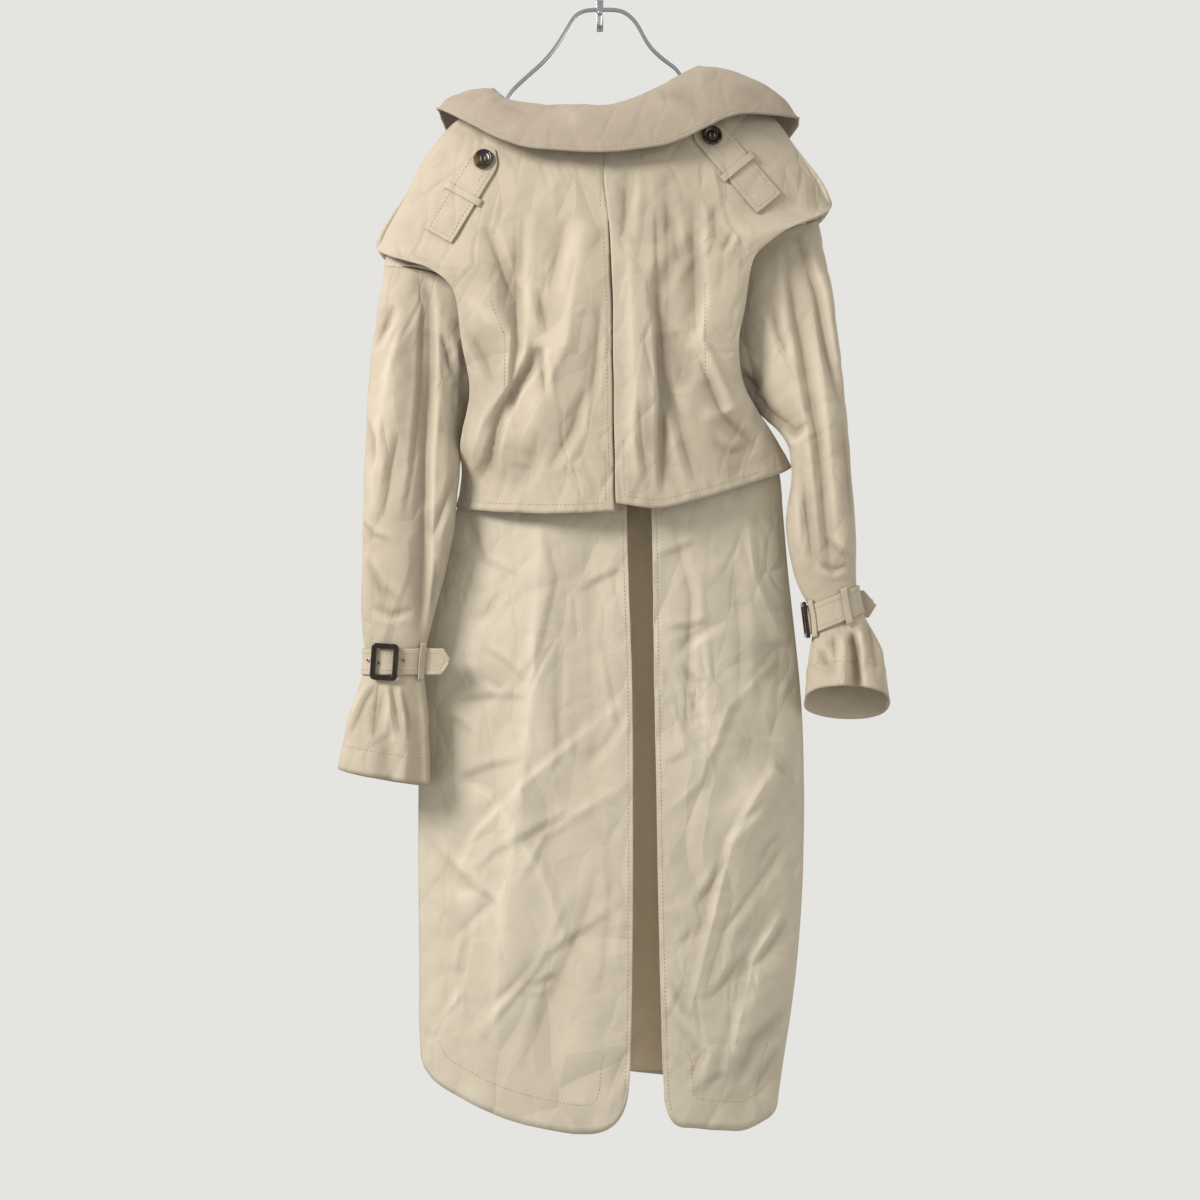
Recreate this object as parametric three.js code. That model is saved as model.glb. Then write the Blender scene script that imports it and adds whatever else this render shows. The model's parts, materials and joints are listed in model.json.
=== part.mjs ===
// A trench coat with a storm cape, hung on a wire hanger from a small wall hook.
// Millimetres, +Z up. The wall is the plane y = 0 and the coat hangs on its -Y side with its
// front to the wall, so its back faces -Y. The origin is the middle of the hook plate's back.
import * as THREE from 'three';
import { mergeVertices } from 'three/addons/utils/BufferGeometryUtils.js';

// ---------- driving sizes ----------
const CLOTH = 2; // thickness of the coat's cloth
const STRAP = 2; // thickness of the straps
const SEAM = 0.3; // gap between two pieces that are sewn together
const LIE = 0.8; // gap under a piece that lies on a panel
const CUFF_LIE = 1.2; // gap under a cuff strap, which is stiffer than the sleeve
const SEAM_PLANE = -48.85; // y of the shoulder and side seams
const WIRE_RADIUS = 2.5;
const WIRE_PLANE = -50.4;
const WIRE_WEDGE = 12; // the wire stops this far below a shoulder seam, where its panels part enough
const HANGER_DROP = 15; // the hanger's own frame lies this far below the hook plate's middle
const PLATE = { width: 8, height: 36, thick: 2.5 };
const PEG = { radius: 2.2, ball: 4, ballPlane: -57 };
const BUTTON = { radius: 11.5, thick: 4, rim: 1.2 };
const FRONT_BUTTON = { radius: 12.5, thick: 4, rim: 1.2 };
const BUCKLE = { width: 30, height: 40, bar: 5.5, thick: 4, corner: 5 };
const CUFF_STRAP_HALF = 15; // half the cuff strap's width
const EPAULET_HALF = 18; // half the shoulder strap's width
const ROW_PITCH = 44; // longest step between two rows of a panel's grid
const FLATTEN = 0.7; // power that flattens the top of a sine arc

// ---------- tables: a row for each section, in the hanger's frame ----------
// Back panels. edge: shoulder line and side seam; fold: centre seam and pleat edge; face: y there.
// The rows along the armhole take their edge from it, so theirs stays at 0 here.
const BACK_LEFT = [
  { edgeX: -126, edgeZ: -110, foldX: 4, foldZ: -133, face: -70 },
  { edgeX: -153, edgeZ: -126, foldX: 4, foldZ: -154, face: -74 },
  { edgeX: -181, edgeZ: -157, foldX: 4, foldZ: -184, face: -79 },
  { edgeX: -208, edgeZ: -207, foldX: 5, foldZ: -216, face: -82 },
  { edgeX: 0, edgeZ: 0, foldX: 6, foldZ: -248, face: -84 },
  { edgeX: 0, edgeZ: 0, foldX: 7, foldZ: -272, face: -85 },
  { edgeX: 0, edgeZ: 0, foldX: 8, foldZ: -298, face: -85 },
  { edgeX: 0, edgeZ: 0, foldX: 8, foldZ: -330, face: -86 },
  { edgeX: 0, edgeZ: 0, foldX: 12, foldZ: -366, face: -86 },
  { edgeX: 0, edgeZ: 0, foldX: 16, foldZ: -410, face: -86 },
  { edgeX: 0, edgeZ: 0, foldX: 24, foldZ: -468, face: -86 },
  { edgeX: -153, edgeZ: -515, foldX: 28.5, foldZ: -528, face: -87 },
  { edgeX: -164, edgeZ: -565, foldX: 30, foldZ: -583, face: -88 },
  { edgeX: -183, edgeZ: -634, foldX: 32, foldZ: -648, face: -90 },
  { edgeX: -195, edgeZ: -715, foldX: 35, foldZ: -735, face: -92 },
  { edgeX: -201, edgeZ: -804, foldX: 36, foldZ: -833, face: -93 },
  { edgeX: -202, edgeZ: -937, foldX: 36, foldZ: -953, face: -94 },
  { edgeX: -201, edgeZ: -1050, foldX: 35, foldZ: -1075, face: -95 },
  { edgeX: -201, edgeZ: -1118, foldX: 33, foldZ: -1148, face: -96 },
  { edgeX: -199, edgeZ: -1156, foldX: 31, foldZ: -1185, face: -96 },
];
const BACK_RIGHT = [
  { edgeX: 108, edgeZ: -75, foldX: 4.4, foldZ: -133, face: -70 },
  { edgeX: 140, edgeZ: -92, foldX: 4.4, foldZ: -154, face: -74 },
  { edgeX: 173, edgeZ: -117, foldX: 4.4, foldZ: -184, face: -79 },
  { edgeX: 207, edgeZ: -159, foldX: 5.4, foldZ: -216, face: -82 },
  { edgeX: 0, edgeZ: 0, foldX: 6.4, foldZ: -248, face: -84 },
  { edgeX: 0, edgeZ: 0, foldX: 7.4, foldZ: -272, face: -85 },
  { edgeX: 0, edgeZ: 0, foldX: 10, foldZ: -298, face: -85 },
  { edgeX: 0, edgeZ: 0, foldX: 15, foldZ: -330, face: -86 },
  { edgeX: 0, edgeZ: 0, foldX: 24, foldZ: -366, face: -86 },
  { edgeX: 0, edgeZ: 0, foldX: 33, foldZ: -410, face: -86 },
  { edgeX: 0, edgeZ: 0, foldX: 46, foldZ: -468, face: -86 },
  { edgeX: 194, edgeZ: -487, foldX: 55, foldZ: -528, face: -87 },
  { edgeX: 203, edgeZ: -548, foldX: 57, foldZ: -583, face: -88 },
  { edgeX: 210, edgeZ: -626, foldX: 58, foldZ: -648, face: -90 },
  { edgeX: 219, edgeZ: -709, foldX: 59, foldZ: -735, face: -92 },
  { edgeX: 226, edgeZ: -809, foldX: 61, foldZ: -833, face: -93 },
  { edgeX: 226, edgeZ: -937, foldX: 63, foldZ: -953, face: -94 },
  { edgeX: 218, edgeZ: -1059, foldX: 66, foldZ: -1083, face: -95 },
  { edgeX: 207, edgeZ: -1140, foldX: 68, foldZ: -1150, face: -96 },
  { edgeX: 199, edgeZ: -1193, foldX: 70, foldZ: -1193, face: -96 },
];
// Front panels share the back's shoulder, armhole and side seams; foldX is the overlapping edge.
const FRONT_EDGE = { left: 52, right: -48 };
const FRONT_FACE = { left: -31, right: -21 };
const FRONT_NECK_Z = -236;
const FRONT_HEM_Z = -1170;
// How far the hems hang below the straight line between their ends, by column from the edge to the fold.
const BACK_SHARES = [0, 0.03, 0.1, 0.21, 0.34, 0.48, 0.62, 0.76, 0.88, 0.96, 1];
const HEM_DROP = {
  left: [0, 15, 26, 35, 44, 50, 52, 52, 45, 28, 0], right: [0, 18, 27, 33, 37, 35, 33, 30, 28, 17, 0],
};
const CAPE_HEM_DROP = { left: [0, 2, 3, 4, 5, 5, 5, 5, 4, 3, 1, 0], right: [0, 4, 6, 8, 10, 12, 14, 15, 16, 15, 8, 0] };
const HEM_ROWS = 4; // rows of a back table over which the hem's drop grows

// Storm cape, back halves: edge with its own depth, fold at the slit of the centre pleat.
const CAPE_LEFT = [
  { edgeX: -132, edgeY: SEAM_PLANE, edgeZ: -103, foldX: 3, foldZ: -130, face: -78 },
  { edgeX: -160, edgeY: SEAM_PLANE, edgeZ: -116, foldX: 3, foldZ: -157, face: -86 },
  { edgeX: -190, edgeY: SEAM_PLANE, edgeZ: -150, foldX: 4, foldZ: -191, face: -93 },
  { edgeX: -218, edgeY: SEAM_PLANE, edgeZ: -201, foldX: 8, foldZ: -227, face: -98 },
  { edgeX: -249, edgeY: SEAM_PLANE, edgeZ: -258, foldX: 10, foldZ: -258, face: -101 },
  { edgeX: -214, edgeY: -86, edgeZ: -275, foldX: 11, foldZ: -282, face: -103 },
  { edgeX: -185, edgeY: -98, edgeZ: -288, foldX: 12, foldZ: -307, face: -104 },
  { edgeX: -164, edgeY: -101, edgeZ: -305, foldX: 13, foldZ: -329, face: -105 },
  { edgeX: -155, edgeY: -102, edgeZ: -328, foldX: 13, foldZ: -351, face: -106 },
  { edgeX: -150, edgeY: -103, edgeZ: -371, foldX: 13, foldZ: -383, face: -107 },
  { edgeX: -142, edgeY: -101, edgeZ: -412, foldX: 14, foldZ: -421, face: -108 },
  { edgeX: -146, edgeY: -95, edgeZ: -447, foldX: 14, foldZ: -459, face: -109 },
  { edgeX: -153, edgeY: -84, edgeZ: -478, foldX: 15, foldZ: -492, face: -110 },
  { edgeX: -153, edgeY: -57, edgeZ: -510, foldX: 15, foldZ: -524, face: -112 },
  { edgeX: -160, edgeY: -55, edgeZ: -545, foldX: 16, foldZ: -553, face: -114 },
];
const CAPE_RIGHT = [
  { edgeX: 114, edgeY: SEAM_PLANE, edgeZ: -67, foldX: 3.5, foldZ: -130, face: -78 },
  { edgeX: 153, edgeY: SEAM_PLANE, edgeZ: -87, foldX: 3.5, foldZ: -157, face: -86 },
  { edgeX: 190, edgeY: SEAM_PLANE, edgeZ: -110, foldX: 4.5, foldZ: -191, face: -93 },
  { edgeX: 223, edgeY: SEAM_PLANE, edgeZ: -153, foldX: 8.6, foldZ: -227, face: -98 },
  { edgeX: 258, edgeY: SEAM_PLANE, edgeZ: -211, foldX: 10.9, foldZ: -256, face: -102 },
  { edgeX: 230, edgeY: -86, edgeZ: -231, foldX: 12, foldZ: -278, face: -105 },
  { edgeX: 201, edgeY: -98, edgeZ: -247, foldX: 13, foldZ: -302, face: -107 },
  { edgeX: 178, edgeY: -101, edgeZ: -265, foldX: 14, foldZ: -324, face: -108 },
  { edgeX: 165, edgeY: -102, edgeZ: -284, foldX: 14, foldZ: -348, face: -109 },
  { edgeX: 159, edgeY: -103, edgeZ: -323, foldX: 14, foldZ: -380, face: -110 },
  { edgeX: 151, edgeY: -101, edgeZ: -371, foldX: 15, foldZ: -419, face: -111 },
  { edgeX: 156, edgeY: -92, edgeZ: -411, foldX: 15, foldZ: -456, face: -112 },
  { edgeX: 174, edgeY: -72, edgeZ: -441, foldX: 16, foldZ: -489, face: -114 },
  { edgeX: 198, edgeY: -56, edgeZ: -474, foldX: 16, foldZ: -519, face: -116 },
  { edgeX: 213, edgeY: -52, edgeZ: -501, foldX: 17, foldZ: -544, face: -118 },
];
// Storm cape, front halves, on the wall side.
const CAPE_FRONT_LEFT = [
  { edgeX: -132, edgeY: SEAM_PLANE, edgeZ: -103, foldX: -62, foldZ: -184, face: -21 },
  { edgeX: -160, edgeY: SEAM_PLANE, edgeZ: -116, foldX: -63, foldZ: -206, face: -17 },
  { edgeX: -190, edgeY: SEAM_PLANE, edgeZ: -150, foldX: -64, foldZ: -232, face: -15 },
  { edgeX: -218, edgeY: SEAM_PLANE, edgeZ: -201, foldX: -66, foldZ: -262, face: -14 },
  { edgeX: -249, edgeY: SEAM_PLANE, edgeZ: -258, foldX: -68, foldZ: -300, face: -13 },
  { edgeX: -206, edgeY: -18, edgeZ: -284, foldX: -69, foldZ: -322, face: -13 },
  { edgeX: -172, edgeY: -15, edgeZ: -320, foldX: -70, foldZ: -352, face: -13 },
  { edgeX: -156, edgeY: -15, edgeZ: -380, foldX: -70, foldZ: -400, face: -13 },
  { edgeX: -156, edgeY: -16, edgeZ: -430, foldX: -70, foldZ: -440, face: -13 },
];
const CAPE_FRONT_RIGHT = [
  { edgeX: 114, edgeY: SEAM_PLANE, edgeZ: -67, foldX: 66, foldZ: -172, face: -21 },
  { edgeX: 153, edgeY: SEAM_PLANE, edgeZ: -87, foldX: 67, foldZ: -194, face: -17 },
  { edgeX: 190, edgeY: SEAM_PLANE, edgeZ: -110, foldX: 68, foldZ: -220, face: -15 },
  { edgeX: 223, edgeY: SEAM_PLANE, edgeZ: -153, foldX: 70, foldZ: -246, face: -14 },
  { edgeX: 258, edgeY: SEAM_PLANE, edgeZ: -211, foldX: 72, foldZ: -284, face: -13 },
  { edgeX: 214, edgeY: -18, edgeZ: -244, foldX: 73, foldZ: -310, face: -13 },
  { edgeX: 180, edgeY: -15, edgeZ: -290, foldX: 74, foldZ: -342, face: -13 },
  { edgeX: 166, edgeY: -15, edgeZ: -360, foldX: 74, foldZ: -392, face: -13 },
  { edgeX: 168, edgeY: -16, edgeZ: -410, foldX: 74, foldZ: -434, face: -13 },
];
// Sleeves: each ring runs from its outer end to its inner end, round a flat oval of that depth.
// lift and drop raise the ring's near side and lower its wall side.
const SLEEVE_LEFT = [
  { outX: -247, outZ: -330, inX: -152, inZ: -476, depth: -60, half: 30, lift: 0, drop: 0 },
  { outX: -254, outZ: -394, inX: -154, inZ: -500, depth: -67, half: 30, lift: 0, drop: 0 },
  { outX: -258, outZ: -471, inX: -156, inZ: -532, depth: -73, half: 29, lift: 0, drop: 0 },
  { outX: -260, outZ: -549, inX: -160, inZ: -573, depth: -77, half: 28, lift: 0, drop: 0 },
  { outX: -261, outZ: -615, inX: -169, inZ: -620, depth: -79, half: 27, lift: 0, drop: 0 },
  { outX: -262, outZ: -670, inX: -182, inZ: -664, depth: -80, half: 24, lift: 0, drop: 0 },
  { outX: -257, outZ: -705, inX: -191, inZ: -705, depth: -80, half: 20, lift: 0, drop: 0 },
  { outX: -258, outZ: -726, inX: -193, inZ: -726, depth: -81, half: 20, lift: 0, drop: 0 },
  { outX: -272, outZ: -763, inX: -188, inZ: -767, depth: -82, half: 26, lift: 0, drop: 2 },
  { outX: -287, outZ: -832, inX: -185, inZ: -849, depth: -84, half: 31, lift: 0, drop: 8 },
];
const SLEEVE_RIGHT = [
  { outX: 257, outZ: -304, inX: 190, inZ: -455, depth: -60, half: 30, lift: 0, drop: 0 },
  { outX: 266, outZ: -382, inX: 208, inZ: -480, depth: -67, half: 30, lift: 0, drop: 0 },
  { outX: 272, outZ: -455, inX: 211, inZ: -514, depth: -73, half: 29, lift: 0, drop: 0 },
  { outX: 277, outZ: -527, inX: 204, inZ: -558, depth: -77, half: 28, lift: 0, drop: 0 },
  { outX: 281, outZ: -582, inX: 207, inZ: -593, depth: -79, half: 27, lift: 0, drop: 0 },
  { outX: 280, outZ: -612, inX: 216, inZ: -630, depth: -80, half: 24, lift: 0, drop: 0 },
  { outX: 281, outZ: -635, inX: 230, inZ: -658, depth: -80, half: 20, lift: 0, drop: 0 },
  { outX: 285, outZ: -658, inX: 233, inZ: -682, depth: -81, half: 20, lift: 0, drop: 0 },
  { outX: 306, outZ: -698, inX: 228, inZ: -716, depth: -82, half: 26, lift: 8, drop: 8 },
  { outX: 317, outZ: -762, inX: 223, inZ: -758, depth: -84, half: 31, lift: 19, drop: 20 },
];
// Armhole seams, from the shoulder point to the underarm point.
const ARMHOLE_LEFT = [
  { x: -240, z: -277 }, { x: -214, z: -281 }, { x: -186, z: -287 }, { x: -160, z: -300 },
  { x: -145, z: -335 }, { x: -140, z: -375 }, { x: -138, z: -412 }, { x: -145, z: -446 },
];
const ARMHOLE_RIGHT = [
  { x: 243, z: -226 }, { x: 217, z: -233 }, { x: 191, z: -243 }, { x: 167, z: -262 },
  { x: 154, z: -296 }, { x: 146, z: -338 }, { x: 143, z: -380 }, { x: 160, z: -428 },
];
const ARMHOLE_HALF_DEPTH = 24;
const ARMHOLE_ROWS = { from: 4, to: 10, steps: 9 }; // rows of a body table along the armhole
// Collar, from its left front point round the back of the neck to its right front point.
const COLLAR = [
  { neckX: -33, foldX: -38, foldY: -31, foldZ: -148, rimX: -91, rimY: -7, rimZ: -214 },
  { neckX: -81, foldX: -84, foldY: -37, foldZ: -108, rimX: -156, rimY: -8, rimZ: -158 },
  { neckX: -125, foldX: -119, foldY: -46, foldZ: -79, rimX: -178, rimY: -44, rimZ: -101 },
  { neckX: -105, foldX: -104, foldY: -62, foldZ: -95, rimX: -142, rimY: -84, rimZ: -128 },
  { neckX: -55, foldX: -55, foldY: -72, foldZ: -106, rimX: -78, rimY: -102, rimZ: -159 },
  { neckX: 3, foldX: 0, foldY: -75, foldZ: -107, rimX: 0, rimY: -105, rimZ: -165 },
  { neckX: 57, foldX: 55, foldY: -72, foldZ: -90, rimX: 74, rimY: -102, rimZ: -155 },
  { neckX: 91, foldX: 88, foldY: -62, foldZ: -70, rimX: 154, rimY: -82, rimZ: -118 },
  { neckX: 107, foldX: 110, foldY: -46, foldZ: -55, rimX: 220, rimY: -44, rimZ: -114 },
  { neckX: 88, foldX: 95, foldY: -36, foldZ: -74, rimX: 193, rimY: -8, rimZ: -150 },
  { neckX: 41, foldX: 45, foldY: -29, foldZ: -122, rimX: 102, rimY: -7, rimZ: -202 },
];
const COLLAR_SHOULDERS = { left: 2, right: 8 }; // rows of the collar's table over the shoulder seams
const STAND_SHARE = 0.8; // how far up to the fold the stand reaches
const COLLAR_ROLL = 5; // how far the leaf rolls out over the stand
// Largest folds: a soft trough (deep above 0) or ridge (deep below 0) along a line.
const BACK_FOLDS = [
  { x0: -64, z0: -540, x1: -76, z1: -770, half: 24, deep: -7 },
  { x0: -74, z0: -740, x1: -117, z1: -1200, half: 24, deep: -7 },
  { x0: -10, z0: -560, x1: -14, z1: -880, half: 14, deep: 4 },
  { x0: 0, z0: -915, x1: -90, z1: -1190, half: 15, deep: 7 },
  { x0: -112, z0: -932, x1: -20, z1: -878, half: 13, deep: 4 },
  { x0: -165, z0: -770, x1: -78, z1: -757, half: 12, deep: 4 },
  { x0: -157, z0: -850, x1: -76, z1: -822, half: 12, deep: 4 },
  { x0: 132, z0: -930, x1: 200, z1: -820, half: 15, deep: -6 },
  { x0: 112, z0: -900, x1: 190, z1: -780, half: 13, deep: 4 },
  { x0: 112, z0: -1098, x1: 214, z1: -990, half: 14, deep: 6 },
  { x0: 146, z0: -1186, x1: 212, z1: -1095, half: 15, deep: 7 },
  { x0: 170, z0: -690, x1: 208, z1: -740, half: 16, deep: 6 },
];
const CAPE_FOLDS = [
  { x0: -94, z0: -230, x1: -90, z1: -385, half: 15, deep: 6 },
  { x0: -68, z0: -360, x1: -106, z1: -470, half: 13, deep: 7 },
  { x0: -39, z0: -225, x1: -57, z1: -325, half: 12, deep: 3 },
  { x0: -14, z0: -225, x1: -36, z1: -385, half: 18, deep: -4 },
  { x0: -34, z0: -360, x1: -92, z1: -500, half: 18, deep: -5 },
  { x0: 101, z0: -200, x1: 104, z1: -375, half: 14, deep: 5 },
  { x0: 70, z0: -400, x1: 106, z1: -545, half: 13, deep: 5 },
  { x0: 41, z0: -190, x1: 43, z1: -600, half: 20, deep: -4 },
  { x0: 68, z0: -185, x1: 70, z1: -600, half: 9, deep: 7 },
];
const SLEEVE_LEFT_FOLDS = [
  { x0: -196, z0: -265, x1: -187, z1: -420, half: 10, deep: 9 },
  { x0: -187, z0: -390, x1: -196, z1: -690, half: 10, deep: 9 },
  { x0: -212, z0: -310, x1: -250, z1: -580, half: 12, deep: -4 },
  { x0: -197, z0: -744, x1: -197, z1: -940, half: 7, deep: 8 },
  { x0: -230, z0: -744, x1: -222, z1: -900, half: 8, deep: 6 },
];
const SLEEVE_RIGHT_FOLDS = [
  { x0: 200, z0: -245, x1: 232, z1: -450, half: 10, deep: 7 },
  { x0: 228, z0: -430, x1: 250, z1: -625, half: 10, deep: 6 },
  { x0: 218, z0: -235, x1: 264, z1: -450, half: 9, deep: 5 },
  { x0: 269, z0: -684, x1: 285, z1: -840, half: 8, deep: 12 },
];
const SLEEVE_BACK_FOLDS = [
  { x0: -214, z0: -320, x1: -224, z1: -600, half: 14, deep: -6 },
  { x0: 232, z0: -300, x1: 246, z1: -560, half: 14, deep: -6 },
];
const FRONT_FOLDS = [
  { x0: -110, z0: -480, x1: -128, z1: -1150, half: 26, deep: -7 },
  { x0: 128, z0: -500, x1: 140, z1: -1130, half: 26, deep: -7 },
  { x0: -160, z0: -880, x1: -70, z1: -820, half: 14, deep: -4 },
  { x0: 90, z0: -900, x1: 180, z1: -980, half: 14, deep: -4 },
];
// Shoulder straps: where they lie on the cape, with the keeper and button at a share of the strap.
const EPAULET_LEFT = { base: [-178, -249], tip: [-119, -152], button: 0.856, keeper: 0.47 };
const EPAULET_RIGHT = { base: [186, -214], tip: [106, -122], button: 0.795, keeper: 0.435 };
// Cuff straps: angles round the sleeve, their tail, their keepers and where the buckle sits.
const CUFF_PLACES = { top: 5.87, middle: 6.5, bottom: 7.12, loopTop: 5.7, loopBottom: 7.3 };
const CUFF_LEFT = { from: 200, to: 520, tail: 27, tailWay: [1, -0.12], keepers: [150, 230], buckleAt: 76 };
const CUFF_RIGHT = { from: 340, to: 660, tail: 32, tailWay: [1, 0.05], keepers: [150, 70], buckleAt: 180 };
const FRONT_BUTTONS = { columns: [-30, 38], rows: [-330, -480, -630] };
// Hanger's wire above the coat.
const WIRE_TOP = [
  { x: -111, z: -110 }, { x: -102, z: -88 }, { x: -61, z: -49 }, { x: -46, z: -30 }, { x: -33, z: -8 }, { x: -26, z: 3 }, { x: -16, z: 7 },
  { x: 0, z: 7 }, { x: 22, z: 7 }, { x: 31, z: 3 }, { x: 43, z: -11 }, { x: 53, z: -31 }, { x: 70, z: -48 }, { x: 89, z: -62 }, { x: 96, z: -84 },
];

// ---------- finishes ----------
const cloth = (tint) => new THREE.MeshStandardMaterial({ color: tint, roughness: 0.9, metalness: 0 });
const COLOURS = {
  back: cloth(0xcdbfa0), cape: cloth(0xd2c4a6), collar: cloth(0xc4b195), sleeve: cloth(0xcbbd9e),
  front: cloth(0xc9bb9c), pleat: cloth(0xab9c7e), strap: cloth(0xd0c2a4),
  horn: new THREE.MeshStandardMaterial({ color: 0x2c211b, roughness: 0.25, metalness: 0 }),
  chrome: new THREE.MeshStandardMaterial({ color: 0xc9ccd0, roughness: 0.18, metalness: 1 }),
};

// ---------- reading tables ----------
const mix = (a, b, f) => a + (b - a) * f;
const clamp01 = (v) => Math.min(Math.max(v, 0), 1);
const ease = (v) => { const c = clamp01(v); return c * c * (3 - 2 * c); };

/** Slope at a row that never overshoots its neighbours. */
function calmSlope(before, here, after) {
  const left = here - before;
  const right = after - here;
  return left * right <= 0 ? 0 : (2 * left * right) / (left + right);
}

/** Every named column of a table at a place between its rows, on a smooth curve. */
function readRow(table, place) {
  const last = table.length - 1;
  const k = Math.min(Math.floor(Math.min(Math.max(place, 0), last)), last - 1);
  const f = Math.min(Math.max(place, 0), last) - k;
  const at = (i, name) => (i < 0 ? 2 * table[0][name] - table[1][name]
    : i > last ? 2 * table[last][name] - table[last - 1][name] : table[i][name]);
  const row = {};
  for (const name of Object.keys(table[0])) {
    const from = at(k, name);
    const to = at(k + 1, name);
    const slopeFrom = calmSlope(at(k - 1, name), from, to);
    const slopeTo = calmSlope(from, to, at(k + 2, name));
    const f2 = f * f;
    const f3 = f2 * f;
    row[name] = (2 * f3 - 3 * f2 + 1) * from + (f3 - 2 * f2 + f) * slopeFrom
      + (3 * f2 - 2 * f3) * to + (f3 - f2) * slopeTo;
  }
  return row;
}

/** Places between a table's rows, no further apart than the pitch along either end of the row. */
function rowPlaces(table, ends, { pitch = ROW_PITCH, armhole = false } = {}) {
  const places = [0];
  const { from, to, steps: armholeSteps } = ARMHOLE_ROWS;
  for (let k = 0; k < table.length - 1; k += 1) {
    if (armhole && k >= from && k < to) {
      if (k > from) continue;
      for (let i = 1; i <= armholeSteps; i += 1) places.push(mix(from, to, i / armholeSteps));
      continue;
    }
    const lengths = ends.map(([xName, zName]) =>
      Math.hypot(table[k + 1][xName] - table[k][xName], table[k + 1][zName] - table[k][zName]));
    const steps = Math.max(1, Math.round(Math.max(...lengths) / pitch));
    for (let i = 1; i <= steps; i += 1) places.push(k + i / steps);
  }
  return places;
}

/** How far the folds of a table push the cloth in at a place, in mm. */
function foldDepth(folds, x, z) {
  let push = 0;
  for (const fold of folds) {
    const alongX = fold.x1 - fold.x0;
    const alongZ = fold.z1 - fold.z0;
    const length = Math.hypot(alongX, alongZ);
    const along = ((x - fold.x0) * alongX + (z - fold.z0) * alongZ) / length;
    const aside = ((x - fold.x0) * alongZ - (z - fold.z0) * alongX) / length;
    const share = along / length;
    if (share <= 0 || share >= 1) continue;
    push += fold.deep * Math.exp(-((aside / fold.half) ** 2)) * Math.sin(Math.PI * share) ** FLATTEN;
  }
  return push;
}

// ---------- making walls ----------
const vec = (x, y, z) => new THREE.Vector3(x, y, z);

/** Closed wall between a grid of outer points and the same grid moved in by the thickness. */
function wall(outer, { thick = CLOTH, round = false, inward = null, turn = 1 } = {}) {
  const rows = outer.length;
  const columns = outer[0].length;
  const at = (r, c) => outer[Math.min(Math.max(r, 0), rows - 1)][round ? (c + columns) % columns
    : Math.min(Math.max(c, 0), columns - 1)];
  const inner = outer.map((line, r) => line.map((point, c) => {
    const set = inward ? inward(r, c) : null;
    if (set) return point.clone().addScaledVector(set.clone().normalize(), thick);
    const down = at(r + 1, c).clone().sub(at(r - 1, c));
    const across = at(r, c + 1).clone().sub(at(r, c - 1));
    return point.clone().addScaledVector(down.cross(across).normalize(), -turn * thick);
  }));
  const positions = [];
  for (const grid of [outer, inner]) for (const line of grid) for (const p of line) positions.push(p.x, p.y, p.z);
  const index = [];
  const outerAt = (r, c) => r * columns + (c % columns);
  const innerAt = (r, c) => rows * columns + outerAt(r, c);
  const quad = (a, b, c, d) => index.push(a, b, c, a, c, d);
  const lastColumn = round ? columns : columns - 1;
  for (let r = 0; r < rows - 1; r += 1) {
    for (let c = 0; c < lastColumn; c += 1) {
      quad(outerAt(r, c), outerAt(r + 1, c), outerAt(r + 1, c + 1), outerAt(r, c + 1));
      quad(innerAt(r, c), innerAt(r, c + 1), innerAt(r + 1, c + 1), innerAt(r + 1, c));
    }
    if (!round) {
      quad(outerAt(r, 0), innerAt(r, 0), innerAt(r + 1, 0), outerAt(r + 1, 0));
      quad(outerAt(r, columns - 1), outerAt(r + 1, columns - 1), innerAt(r + 1, columns - 1), innerAt(r, columns - 1));
    }
  }
  for (let c = 0; c < lastColumn; c += 1) {
    quad(outerAt(0, c), outerAt(0, c + 1), innerAt(0, c + 1), innerAt(0, c));
    quad(outerAt(rows - 1, c), innerAt(rows - 1, c), innerAt(rows - 1, c + 1), outerAt(rows - 1, c + 1));
  }
  return facingOut(positions, index);
}

/** Geometry of a closed body whose faces are turned to point out. */
function facingOut(positions, index) {
  let volume = 0;
  const corner = (i) => vec(positions[3 * i], positions[3 * i + 1], positions[3 * i + 2]);
  for (let i = 0; i < index.length; i += 3) {
    volume += corner(index[i]).dot(corner(index[i + 1]).cross(corner(index[i + 2])));
  }
  if (volume < 0) for (let i = 0; i < index.length; i += 3) [index[i + 1], index[i + 2]] = [index[i + 2], index[i + 1]];
  const geometry = new THREE.BufferGeometry();
  geometry.setAttribute('position', new THREE.Float32BufferAttribute(positions, 3));
  geometry.setIndex(index);
  geometry.computeVertexNormals();
  return geometry;
}

/** Shares of the way across a panel, closer together at its rounded edge. */
const spread = (count, power = 1.25) => Array.from({ length: count + 1 }, (_, i) => (i / count) ** power);

/** How far a panel has swelled to its full depth at a share of the way from edge to fold. */
const swell = (share, power = 0.75) => (1 - (1 - share) ** 2) ** power;

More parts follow.
